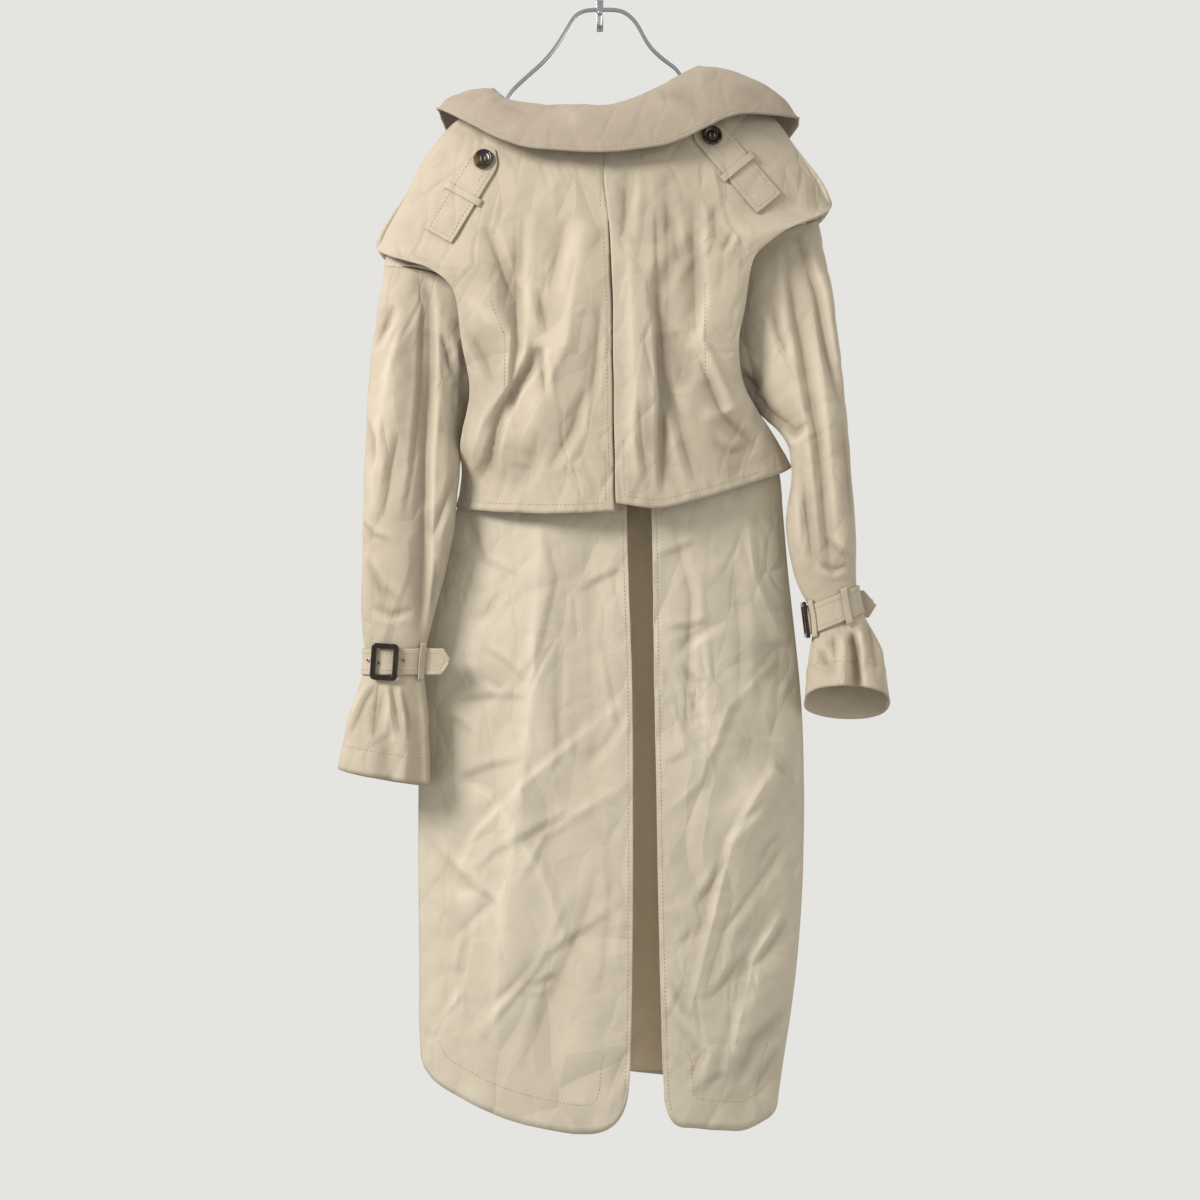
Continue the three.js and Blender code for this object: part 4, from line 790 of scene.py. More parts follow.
def crease_height(x: np.ndarray, z: np.ndarray, creases: Iterable[Crease]) -> np.ndarray:
    """How far creases raise the cloth at points given in millimetres.

    Args:
        x: Places across.
        z: Places up.
        creases: Creases that run over the cloth.

    Returns:
        The height at each point, in millimetres.
    """
    total = np.zeros_like(x)
    run_out = 0.6  # power that rounds off a crease's ends
    lip_place, lip_height = 1.9, 0.6  # the lip beside a crease, in half widths and as a share of its height
    for height, half, lip, points in creases:
        reach = 4.5 * half
        xs = [p[0] for p in points]
        zs = [p[1] for p in points]
        near = (x > min(xs) - reach) & (x < max(xs) + reach) & (z > min(zs) - reach) & (z < max(zs) + reach)
        if not near.any():
            continue
        px, pz = x[near], z[near]
        lengths = [math.dist(a, b) for a, b in zip(points, points[1:])]
        whole = sum(lengths)
        best = np.full(px.shape, np.inf)
        side = np.zeros(px.shape)
        share = np.zeros(px.shape)
        start = 0.0
        for (ax, az), (bx, bz), length in zip(points, points[1:], lengths):
            ux, uz = (bx - ax) / length, (bz - az) / length
            along = np.clip((px - ax) * ux + (pz - az) * uz, 0.0, length)
            dx, dz = px - ax - along * ux, pz - az - along * uz
            away = np.hypot(dx, dz)
            closer = away < best
            best = np.where(closer, away, best)
            side = np.where(closer, np.sign(ux * dz - uz * dx) * away, side)
            share = np.where(closer, (start + along) / whole, share)
            start += length
        ease = np.sin(np.pi * np.clip(share, 0.0, 1.0)) ** run_out
        profile = np.exp(-(np.hypot(best, CREASE_ROUND) - CREASE_ROUND) / half)
        if lip:
            profile -= lip_height * np.exp(-(np.abs(side * lip - lip_place * half) / half) ** 1.5)
        total[near] += height * profile * ease
    return total


class Sheet:
    """A smooth open sheet of cloth that keeps its points, normals and edges as arrays.

    Its sizes are in millimetres, and a pair gives where an effect starts and where it is full.
    """

    roundings = 3  # times the cage is corrected so that the smooth sheet meets its points
    beside_crease = 0.32  # share of a crease's height down to which its faces are halved
    seen_side = 0.1  # how far a sleeve's normals point to the viewer where its faces are halved
    ease_round = (0.1, 0.6)  # how far a sleeve's normals point to a side where that side's creases show
    held_within = 3.5  # an edge this near another piece is held
    ease_seam = (1.0, 16.0)  # distance from a held edge
    rider_reach = 22.0  # how far a piece that lies on the cloth is looked for
    ease_rider = (5.0, 20.0)  # distance from a piece that lies on the cloth
    pucker_pitch = 120.0  # puckers in a metre
    pucker_height = 0.9
    pucker_half = 6.0  # half width of the puckers along an edge row
    line_half = 9.0  # half width of the puckers along a free row
    tuck_depth = 4.0  # how far cloth under another layer is drawn back
    tuck_run = 30.0
    ease_tuck = (2.0, 30.0)  # distance from the edge
    full_fold = 3.2  # fold height that gets the full painted shade or painted light
    rubbed_shaded_edge = 2.2  # width of the rubbed edge band that also gets painted shade

    def __init__(self, plan: SkinPlan, frame: dict) -> None:
        """Cuts the outer sheet from a packed wall and smooths it.

        Args:
            plan: What the piece is grown from.
            frame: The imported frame.
        """
        self.plan = plan
        self.frame = frame
        bm = self._outer_sheet()
        self.mesh = self._smoothed(bm)
        self._read()

    def _outer_sheet(self) -> bmesh.types.BMesh:
        """Copies the node, takes its rims off and keeps the sheet that faces out.

        Returns:
            The open sheet.
        """
        bm = bmesh.new()
        bm.from_mesh(self.frame["nodes"][self.plan.node].data)
        bmesh.ops.remove_doubles(bm, verts=bm.verts, dist=ONE_CORNER)
        thick = self.plan.wall * MM
        rims = [f for f in bm.faces if any(abs(e.calc_length() - thick) < RIM_SLACK for e in f.edges)]
        bmesh.ops.delete(bm, geom=rims, context="FACES")
        islands = self._islands(bm)
        if len(islands) != 2:
            raise ValueError(f"{self.plan.node}: {len(islands)} sheets were found in the wall, not 2")
        outer = max(islands, key=self._outwardness)
        spare = [f for island in islands if island is not outer for f in island]
        bmesh.ops.delete(bm, geom=spare, context="FACES")
        bmesh.ops.join_triangles(bm, faces=bm.faces, angle_face_threshold=math.pi,
                                 angle_shape_threshold=math.pi)
        tips = bm.verts.layers.float.new("crease_vert")
        for vert in bm.verts if self.plan.pointed else ():
            rims = [e.other_vert(vert).co - vert.co for e in vert.link_edges if e.is_boundary]
            if len(rims) == 2 and math.pi - rims[0].angle(rims[1]) > SHARP_CORNER:
                vert[tips] = 1.0
        return bm

    @staticmethod
    def _islands(bm: bmesh.types.BMesh) -> list[list[bmesh.types.BMFace]]:
        """Groups of faces that hang together.

        Args:
            bm: Mesh to sort.

        Returns:
            The groups.
        """
        seen: set[bmesh.types.BMFace] = set()
        islands = []
        for start in bm.faces:
            if start in seen:
                continue
            seen.add(start)
            island, open_faces = [], [start]
            while open_faces:
                face = open_faces.pop()
                island.append(face)
                for edge in face.edges:
                    for other in edge.link_faces:
                        if other not in seen:
                            seen.add(other)
                            open_faces.append(other)
            islands.append(island)
        return islands

    def _outwardness(self, island: Iterable[bmesh.types.BMFace]) -> float:
        """How far a sheet faces the way that the plan calls out.

        Args:
            island: Faces of the sheet.

        Returns:
            A number that is largest for the outer sheet.
        """
        total = 0.0
        low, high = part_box(self.plan.node)
        middle = (Vector(low) + Vector(high)) / 2
        if self.plan.facing is Facing.ROUND_SLEEVE:
            side = "left" if middle.x < 0 else "right"
            sleeve_low, sleeve_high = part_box(f"sleeve_{side}")
            middle.x = CUFF_MIDDLES[side]
            middle.y = (sleeve_low[1] + sleeve_high[1]) / 2
        for face in island:
            way = WAYS_OUT.get(self.plan.facing) or face.calc_center_median() - middle
            total += face.calc_area() * face.normal.dot(way)
        return total

    def _smoothed(self, bm: bmesh.types.BMesh) -> bpy.types.Mesh:
        """Subdivides the sheet so that it still runs through its own points.

        Args:
            bm: The coarse sheet, freed here.

        Returns:
            The fine sheet.
        """
        cage = bpy.data.meshes.new("cage")
        bm.to_mesh(cage)
        bm.free()
        holder = placed("cage", cage)
        smooth = holder.modifiers.new("smooth", "SUBSURF")
        smooth.boundary_smooth = "PRESERVE_CORNERS"
        smooth.levels = smooth.render_levels = 1
        wanted = read_points(cage)
        for _ in range(self.roundings):
            bpy.context.view_layer.update()
            rounded = holder.evaluated_get(bpy.context.evaluated_depsgraph_get()).to_mesh()
            pulled = read_points(rounded)[:len(wanted)]
            points = read_points(cage) + (wanted - pulled)
            cage.vertices.foreach_set("co", points.ravel())
            cage.update()
        smooth.levels = smooth.render_levels = self.plan.levels
        bpy.context.view_layer.update()
        graph = bpy.context.evaluated_depsgraph_get()
        fine = bpy.data.meshes.new_from_object(holder.evaluated_get(graph))
        bpy.data.objects.remove(holder)
        bpy.data.meshes.remove(cage)
        return self._refined(fine)

    def _refined(self, mesh: bpy.types.Mesh) -> bpy.types.Mesh:
        """Halves the faces that sharp creases run over.

        Args:
            mesh: The smooth sheet.

        Returns:
            The same sheet with finer faces along its creases.
        """
        sharp = [(-1.0, half, 0, points) for _, half, _, points in self.plan.creases if half <= FINE_HALF]
        if not sharp:
            return mesh
        points = read_points(mesh) / MM
        normals = np.array([v.vector for v in mesh.vertex_normals])
        close = crease_height(points[:, 0], points[:, 2], sharp) < -self.beside_crease
        if self.plan.facing is Facing.ROUND_SELF:
            close &= normals[:, 1] < -self.seen_side
        bm = bmesh.new()
        bm.from_mesh(mesh)
        edges = [e for e in bm.edges if close[e.verts[0].index] or close[e.verts[1].index]]
        bmesh.ops.subdivide_edges(bm, edges=edges, cuts=1, use_grid_fill=True)
        bm.to_mesh(mesh)
        bm.free()
        return mesh

    def _read(self) -> None:
        """Reads the sheet's points, normals, edges and the distance of each point from the sheet's edge."""
        self.points = read_points(self.mesh)
        self.normals = np.array([v.vector for v in self.mesh.vertex_normals])
        bm = bmesh.new()
        bm.from_mesh(self.mesh)
        self.rim = [(e.verts[0].index, e.verts[1].index) for e in bm.edges if len(e.link_faces) == 1]
        bm.free()
        self.edge_gap = self._rim_gap(None)

    def _rim_gap(self, region: Region | None) -> np.ndarray:
        """Distance of each point from the sheet's edge.

        Args:
            region: Part of the edge that counts, seen from the back, or None for all of it.

        Returns:
            Distances in millimetres.
        """
        steps = 3
        spots = [self.points[a] + (self.points[b] - self.points[a]) * k / steps
                 for a, b in self.rim for k in range(steps)]
        if region is not None:
            x0, x1, z0, z1 = (side * MM for side in region)
            spots = [p for p in spots if x0 <= p[0] <= x1 and z0 <= p[2] <= z1]
        return gaps_to(spots, self.points)

    def close_seams(self, others: Sequence[BVHTree]) -> None:
        """Draws the sheet's edge half of the way to a neighbour that is sewn to it.

        Args:
            others: Search trees of the other sheets.
        """
        for a in {i for pair in self.rim for i in pair}:
            spot = Vector(self.points[a])
            for tree in others:
                near = tree.find_nearest(spot, SEWN * MM)[0]
                if near is not None:
                    self.points[a] = spot.lerp(near, 0.5)

    def calm(self, trees: dict[str, BVHTree]) -> np.ndarray:
        """How free each point is to move: 0 at seams and under what lies on the cloth, 1 elsewhere.

        Args:
            trees: Search trees of all packed cloth pieces.

        Returns:
            A share for each point.
        """
        others = [t for name, t in trees.items() if name != self.plan.node and name not in self.plan.riders]
        held = []
        for a in {i for pair in self.rim for i in pair}:
            spot = Vector(self.points[a])
            if any(tree.find_nearest(spot, self.held_within * MM)[0] is not None for tree in others):
                held.append(a)
        free = np.ones(len(self.points))
        if held:
            free *= smooth_step(gaps_to([self.points[a] for a in held], self.points), *self.ease_seam)
        for rider in self.plan.riders:
            reach = self.rider_reach * MM
            found = [trees[rider].find_nearest(Vector(p), reach) for p in self.points]
            gaps = np.array([reach if hit[0] is None else hit[3] for hit in found]) / MM
            free *= smooth_step(gaps, *self.ease_rider)
        return free

    def fold(self, trees: dict[str, BVHTree]) -> None:
        """Presses the creases, the soft waves and the puckers of the seams into the sheet.

        Args:
            trees: Search trees of all packed cloth pieces.
        """
        plan = self.plan
        free = self.calm(trees)
        x, z = self.points[:, 0] / MM, self.points[:, 2] / MM
        away = self.normals[:, 1]
        two_sided = plan.facing is Facing.ROUND_SELF
        near = smooth_step(-away, *self.ease_round) if two_sided else np.ones_like(x)
        height = crease_height(x, z, plan.creases) * near
        if plan.far_creases:
            height += crease_height(x, z, plan.far_creases) * smooth_step(away, *self.ease_round)
        wave = np.array([self._crumple(p) for p in self.points])
        pucker = np.array([noise.noise(Vector(p * self.pucker_pitch)) for p in self.points])
        band = np.zeros_like(x)
        for row in plan.rows:
            band = np.maximum(band, np.exp(-((self._rim_gap(row.rim) - row.inset) / self.pucker_half) ** 2))
        for line in plan.lines:
            band = np.maximum(band, crease_height(x, z, ((1.0, self.line_half, 0, line.points),)))
        total = (height + wave * plan.waves + pucker * band * self.pucker_height) * free - plan.sink
        if plan.sunk_above is not None:
            total = np.where(z > plan.sunk_above, np.minimum(total, 0.0), total)
            tucked = smooth_step(z, plan.sunk_above, plan.sunk_above + self.tuck_run)
            total -= self.tuck_depth * tucked * smooth_step(self.edge_gap, *self.ease_tuck)
        self.points = self.points + self.normals * (total * MM)[:, None]
        self.mesh.vertices.foreach_set("co", self.points.ravel())
        self.mesh.update()
        self.normals = np.array([v.vector for v in self.mesh.vertex_normals])
        # The fold attribute holds painted shade for valleys and painted light for ridges, used in the cloth's
        # colour.
        shade = (height + wave * plan.waves * 0.5) * free / self.full_fold
        write_values(self.mesh, "fold", np.clip(shade, -1.0, 1.0))
        # The edge attribute holds rubbing and painted shade along edges and seams.
        write_values(self.mesh, "edge", np.exp(-(self.edge_gap / self.rubbed_shaded_edge) ** 2))

    @staticmethod
    def _crumple(point: np.ndarray) -> float:
        """Height of the cloth's soft waves and small dents at a point.

        Args:
            point: Point of the sheet, in metres.

        Returns:
            The height in millimetres.
        """
        x, y, z = point
        wave_height, ripple_height, dent_depth = 1.25, 0.45, 0.75
        wave = noise.noise(Vector((x * 13, y * 13 + 7.3, z * 8)))
        ripple = noise.noise(Vector((x * 44, y * 44, z * 30 + 3.1)))
        warp = noise.noise(Vector((x * 9 + 5.0, y * 9, z * 9))) * 0.05
        slant = Vector((x * 20 + warp * 20 + z * 9, y * 20, z * 24 - x * 8 + warp * 24))
        dent = 1.0 - min(1.0, abs(noise.noise(slant)) * 3.2)
        return wave * wave_height + ripple * ripple_height - dent * dent_depth

    def inset_lines(self, row: EdgeRow) -> list[list[tuple[Vector, Vector]]]:
        """Lines on the sheet that keep one distance from its edge.

        Args:
            row: Distance and region of the lines.

        Returns:
            Lines of points with their normals.
        """
        gap = self._rim_gap(row.rim) - row.inset
        spots: dict[tuple[int, int], tuple[Vector, Vector]] = {}
        links: dict[tuple[int, int], list[tuple[int, int]]] = {}
        for polygon in self.mesh.polygons:
            corners = list(polygon.vertices)
            signs = [gap[i] > 0 for i in corners]
            if all(signs) or not any(signs):
                continue
            crossed = []
            for a, b in zip(corners, corners[1:] + corners[:1]):
                if (gap[a] > 0) == (gap[b] > 0):
                    continue
                key = (min(a, b), max(a, b))
                share = gap[key[0]] / (gap[key[0]] - gap[key[1]])
                point, normal = (Vector(rows[key[0]] + (rows[key[1]] - rows[key[0]]) * share)
                                 for rows in (self.points, self.normals))
                spots.setdefault(key, (point, normal.normalized()))
                crossed.append(key)
            if len(crossed) == 2 and all(self._wanted(spots[key], row) for key in crossed):
                links.setdefault(crossed[0], []).append(crossed[1])
                links.setdefault(crossed[1], []).append(crossed[0])
        return [[spots[key] for key in chain] for chain in chains(links)]

    @staticmethod
    def _wanted(spot: tuple[Vector, Vector], row: EdgeRow) -> bool:
        """Whether a point lies in a row's region and on its side.

        Args:
            spot: Point with its normal.
            row: Row of stitches.

        Returns:
            True where the row passes.
        """
        x0, x1, z0, z1 = row.region
        inside = x0 <= spot[0].x / MM <= x1 and z0 <= spot[0].z / MM <= z1
        return inside and (row.near is None or (spot[1].y < 0) == row.near)

    def tree(self) -> BVHTree:
        """A search tree of the sheet as it is now.

        Returns:
            The tree.
        """
        faces = [tuple(f.vertices) for f in self.mesh.polygons]
        return BVHTree.FromPolygons([Vector(p) for p in self.points], faces)

    def laid_line(self, row: FreeRow) -> list[tuple[Vector, Vector]]:
        """A line laid on the sheet from one side.

        Args:
            row: Line to lay.

        Returns:
            Points with their normals.
        """
        tree = self.tree()
        way = 1.0 if row.near else -1.0
        step, shortest = 2.0, 0.5 * MM
        laid = []
        for (ax, az), (bx, bz) in zip(row.points, row.points[1:]):
            steps = max(1, round(math.hypot(bx - ax, bz - az) / step))
            for k in range(steps + 1):
                x, z = ax + (bx - ax) * k / steps, az + (bz - az) * k / steps
                look_from = Vector((x * MM, -way * LOOK_FROM, z * MM))
                spot, normal, *_ = tree.ray_cast(look_from, Vector((0, way, 0)))
                if spot is not None and (not laid or (spot - laid[-1][0]).length > shortest):
                    laid.append((spot, normal if normal.y * way < 0 else -normal))
        return laid


def placed(name: str, data: bpy.types.ID) -> bpy.types.Object:
    """Puts an object into the scene.

    Args:
        name: Name of the object.
        data: Its mesh, light or camera.

    Returns:
        The object.
    """
    item = bpy.data.objects.new(name, data)
    bpy.context.scene.collection.objects.link(item)
    return item


def read_points(mesh: bpy.types.Mesh) -> np.ndarray:
    """The points of a mesh.

    Args:
        mesh: Mesh to read.

    Returns:
        One row of three numbers for each point.
    """
    points = np.empty(len(mesh.vertices) * 3)
    mesh.vertices.foreach_get("co", points)
    return points.reshape(-1, 3)


def write_values(mesh: bpy.types.Mesh, name: str, values: np.ndarray) -> None:
    """Keeps a number at each point of a mesh.

    Args:
        mesh: Mesh to write to.
        name: Name of the attribute.
        values: One number for each point.
    """
    attribute = mesh.attributes.new(name, "FLOAT", "POINT")
    attribute.data.foreach_set("value", values.astype(np.float32))


def chains(links: dict[tuple[int, int], list[tuple[int, int]]]) -> list[list[tuple[int, int]]]:
    """Joins single steps into long lines.

    Args:
        links: Neighbours of each point.

    Returns:
        Lines of point keys, longest runs first taken from open ends.
    """
    left = {key: list(next_keys) for key, next_keys in links.items()}
    lines = []
    starts = [key for key in left if len(left[key]) == 1] + list(left)
    for start in starts:
        while left.get(start):
            line = [start]
            here = start
            while left.get(here):
                step = left[here].pop()
                left[step].remove(here)
                line.append(step)
                here = step
            if len(line) > 3:
                lines.append(line)
    return lines


class Sewing:
    """Sews rows of small stitches into one piece. Its sizes are in millimetres."""

    pitch = 4.4
    length = 3.2
    half_width = 0.48
    half_thick = 0.34
    lift = 0.12
    shortest = 0.5

    def __init__(self) -> None:
        """Starts with no stitch."""
        self.bm = bmesh.new()
        self.count = 0

    def sew(self, line: Sequence[tuple[Vector, Vector]]) -> None:
        """Sews along a line of points with normals.

        Args:
            line: Points with their normals.
        """
        if len(line) < 2:
            return
        spots = [Vector(p) for p, _ in line]
        travel = [0.0]
        for a, b in zip(spots, spots[1:]):
            travel.append(travel[-1] + (b - a).length)
        whole = travel[-1]
        count = int(whole / (self.pitch * MM))
        for i in range(count):
            start = (i + 0.5) * whole / count - self.length * MM / 2
            head, normal = self._at(line, travel, start)
            tail, _ = self._at(line, travel, start + self.length * MM)
            self._stitch(head, tail, normal)

    @staticmethod
    def _at(line: Sequence[tuple[Vector, Vector]], travel: Sequence[float],
            place: float) -> tuple[Vector, Vector]:
        """A point of a line at a distance from its start.

        Args:
            line: Points with their normals.
            travel: Distance of each point from the start.
            place: Distance to read at.

        Returns:
            The point and its normal.
        """
        k = int(np.clip(np.searchsorted(travel, place) - 1, 0, len(line) - 2))
        share = (place - travel[k]) / max(travel[k + 1] - travel[k], 1e-9)
        share = min(max(share, 0.0), 1.0)
        return line[k][0].lerp(line[k + 1][0], share), line[k][1].lerp(line[k + 1][1], share)

    def _stitch(self, head: Vector, tail: Vector, normal: Vector) -> None:
        """Adds one stitch.

        Args:
            head: Where it starts.
            tail: Where it ends.
            normal: Way out of the cloth.
        """
        along = tail - head
        if along.length < self.shortest * MM:
            return
        way = along.normalized()
        out = (normal - way * normal.dot(way)).normalized()
        turn = Matrix((way, out.cross(way), out)).transposed().to_4x4()
        size = Matrix.Diagonal((along.length / 2, self.half_width * MM, self.half_thick * MM, 1.0))
        middle = Matrix.Translation((head + tail) / 2 + out * self.lift * MM)
        bmesh.ops.create_icosphere(self.bm, subdivisions=1, radius=1.0, matrix=middle @ turn @ size)
        self.count += 1

    def finish(self, node: str, material: bpy.types.Material) -> None:
        """Makes the stitches one piece, where there are any.

        Args:
            node: Packed cloth piece that they are sewn into.
            material: Thread.
        """
        if not self.count:
            self.bm.free()
            return
        make_piece(f"{node}_stitches", self.bm, [material])
        LOG.info("stitches on %s: %d", node, self.count)


def make_piece(name: str, bm: bmesh.types.BMesh, materials: Sequence[bpy.types.Material]) -> bpy.types.Object:
    """Turns a bmesh into a piece of the coat.

    Args:
        name: Name of the piece.
        bm: Mesh, freed here.
        materials: Finishes in the order of their slots.

    Returns:
        The piece.
    """
    mesh = bpy.data.meshes.new(name)
    for face in bm.faces:
        face.smooth = True
    bm.to_mesh(mesh)
    bm.free()
    piece = placed(name, mesh)
    for material in materials:
        mesh.materials.append(material)
    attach(piece, BODY)
    return piece


@dataclass
class Tailor:
    """Grows every cloth piece and sews its rows of stitches."""

    frame: dict
    plans: Sequence[SkinPlan]
    thread: bpy.types.Material
    finishes: dict[Palette, bpy.types.Material]
    sheets: dict[str, Sheet] = field(default_factory=dict)

    def packed_trees(self) -> dict[str, BVHTree]:
        """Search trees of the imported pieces.

        Returns:
            A tree for each node.
        """
        trees = {}
        for name, node in self.frame["nodes"].items():
            bm = bmesh.new()
            bm.from_mesh(node.data)
            trees[name] = BVHTree.FromBMesh(bm)
            bm.free()
        return trees

    def build(self) -> None:
        """Grows, folds and finishes all cloth pieces."""
        trees = self.packed_trees()
        self.sheets = {plan.node: Sheet(plan, self.frame) for plan in self.plans}
        smooth = {node: sheet.tree() for node, sheet in self.sheets.items()}
        for node, sheet in self.sheets.items():
            sheet.close_seams([tree for other, tree in smooth.items() if other != node])
            sheet.fold(trees)
            self._dress(sheet)
            LOG.info("cloth %s: %d faces", node, len(sheet.mesh.polygons))
        for plan in self.plans:
            sewing = Sewing()
            for row in plan.rows:
                for line in self.sheets[plan.node].inset_lines(row):
                    sewing.sew(line)
            for row in plan.lines:
                sewing.sew(self.sheets[plan.node].laid_line(row))
            sewing.finish(plan.node, self.thread)

    def _dress(self, sheet: Sheet) -> None:
        """Makes a sheet a piece, with its thickness and finish.

        Args:
            sheet: The folded sheet.
        """
        plan = sheet.plan
        sheet.mesh.name = f"{plan.node}_cloth"
        piece = placed(f"{plan.node}_cloth", sheet.mesh)
        sheet.mesh.polygons.foreach_set("use_smooth", [True] * len(sheet.mesh.polygons))
        sheet.mesh.materials.clear()
        sheet.mesh.materials.append(self.finishes[plan.palette])
        wall = piece.modifiers.new("wall", "SOLIDIFY")
        wall.thickness = plan.wall * MM
        wall.offset = -1.0
        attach(piece, BODY)
        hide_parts(plan.node)
        list(plan.rests_on)


# ---------- hard pieces ----------
def solid_pose(node: bpy.types.Object, way_out: Vector) -> Matrix:
    """Where a flat round or square solid sits: its middle, with Z out of its face.

    Args:
        node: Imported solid.
        way_out: Rough way out of the coat.

    Returns:
        The pose.
    """
    points = np.unique(np.round(read_points(node.data), 7), axis=0)
    middle = (points.max(axis=0) + points.min(axis=0)) / 2
    _, _, axes = np.linalg.svd(points - points.mean(axis=0), full_matrices=False)
    out = Vector(axes[2])
    if out.dot(way_out) < 0:
        out.negate()
    up = Vector((0, 0, 1)) - out * out.z
    up.normalize()
    turn = Matrix((up.cross(out), up, out)).transposed().to_4x4()
    return Matrix.Translation(Vector(middle)) @ turn


def full_spin(bm: bmesh.types.BMesh, geometry: list, steps: int) -> None:
    """Turns an outline all the way round Z.

    Args:
        bm: Mesh that holds the outline.
        geometry: Corners and edges of the outline.
        steps: Number of steps of the turn.
    """
    bmesh.ops.spin(bm, geom=geometry, cent=(0, 0, 0), axis=(0, 0, 1), angle=2 * math.pi, steps=steps,
                   use_merge=True, use_duplicate=False)


def closed_up(bm: bmesh.types.BMesh) -> None:
    """Merges the corners of a turned mesh that lie on each other and faces it out.

    Args:
        bm: Mesh to close.
    """
    bmesh.ops.remove_doubles(bm, verts=bm.verts, dist=1e-6)
    bmesh.ops.recalc_face_normals(bm, faces=bm.faces)


# Half of a button's section: places out from its middle and up, as shares of its radius and thickness.
BUTTON_OUTLINE = ((0.0, -0.5), (0.72, -0.5), (0.95, -0.2), (1.0, 0.1), (0.96, 0.38),
                  (0.88, 0.5), (0.79, 0.42), (0.70, 0.16), (0.5, 0.08), (0.0, 0.06))


@dataclass
class Button:
    """Round four-hole button with a raised rim, sewn on with two bars of thread."""

    node: str
    radius: float
    way_out: Vector
    thick: float = 3.6
    hole: float = 1.1
    hole_place: float = 2.5
    floor: float = 0.08  # height of the dished face over the middle, as a share of the thickness

    def build(self, frame: dict, horn: bpy.types.Material, dark: bpy.types.Material,
              thread: bpy.types.Material) -> None:
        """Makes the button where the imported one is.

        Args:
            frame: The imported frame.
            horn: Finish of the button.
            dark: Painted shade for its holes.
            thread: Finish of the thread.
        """
        pose = solid_pose(frame["nodes"][self.node], self.way_out)
        bm = bmesh.new()
        r, t = self.radius * MM, self.thick * MM
        verts = [bm.verts.new((x * r, 0.0, z * t)) for x, z in BUTTON_OUTLINE]
        full_spin(bm, verts + [bm.edges.new(pair) for pair in zip(verts, verts[1:])], steps=32)
        closed_up(bm)
        plain = set(bm.faces)
        face_height, place, hole = t * self.floor, self.hole_place * MM, self.hole * MM
        for dx, dy in ((1, 1), (1, -1), (-1, 1), (-1, -1)):
            spot = Matrix.Translation((dx * place, dy * place, face_height))
            bmesh.ops.create_cone(bm, cap_ends=True, segments=10, radius1=hole, radius2=hole * 0.85,
                                  depth=0.25 * MM, matrix=spot)
        # The holes are near-black discs: painted shade.
        holes = set(bm.faces) - plain
        for face in holes:
            face.material_index = 1
        for dx in (1, -1):
            spot = Matrix.Translation((dx * place, 0.0, face_height + 0.35 * MM))
            size = Matrix.Diagonal((0.55 * MM, place * 1.25, 0.45 * MM, 1.0))
            bmesh.ops.create_icosphere(bm, subdivisions=2, radius=1.0, matrix=spot @ size)
        for face in set(bm.faces) - plain - holes:
            face.material_index = 2
        bm.transform(pose)
        piece = make_piece(self.node + "_turned", bm, [horn, dark, thread])
        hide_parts(self.node)


def soft_copy(frame: dict, node: str, name: str, material: bpy.types.Material, levels: int = 2,
              swell: float = 0.0, bevel: float = 0.0) -> bpy.types.Object:
    """A rounder stand-in for a packed hard piece, made from a merged copy of it.

    Args:
        frame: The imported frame.
        node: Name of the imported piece.
        name: Name of the new piece.
        material: Its finish.
        levels: Levels of its smoothing, 0 for none.
        swell: How far its points move out to make up for the smoothing, in millimetres.
        bevel: Width of its rounded edges, in millimetres, 0 for none.

    Returns:
        The new piece.
    """
    bm = bmesh.new()
    bm.from_mesh(frame["nodes"][node].data)
    bmesh.ops.remove_doubles(bm, verts=bm.verts, dist=ONE_CORNER)
    bmesh.ops.dissolve_limit(bm, angle_limit=math.radians(1.0), verts=bm.verts, edges=bm.edges)
    if swell:
        bm.normal_update()
        for vert in bm.verts:
            vert.co += vert.normal * swell * MM
    if bevel:
        sharp = [e for e in bm.edges if len(e.link_faces) == 2 and e.calc_face_angle() > math.radians(40.0)]
        bmesh.ops.bevel(bm, geom=sharp, offset=bevel * MM, affect="EDGES", segments=3, profile=0.5,
                        material=-1)
    piece = make_piece(name, bm, [material])
    if levels:
        smooth = piece.modifiers.new("smooth", "SUBSURF")
        smooth.levels = smooth.render_levels = levels
    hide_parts(node)
    return piece


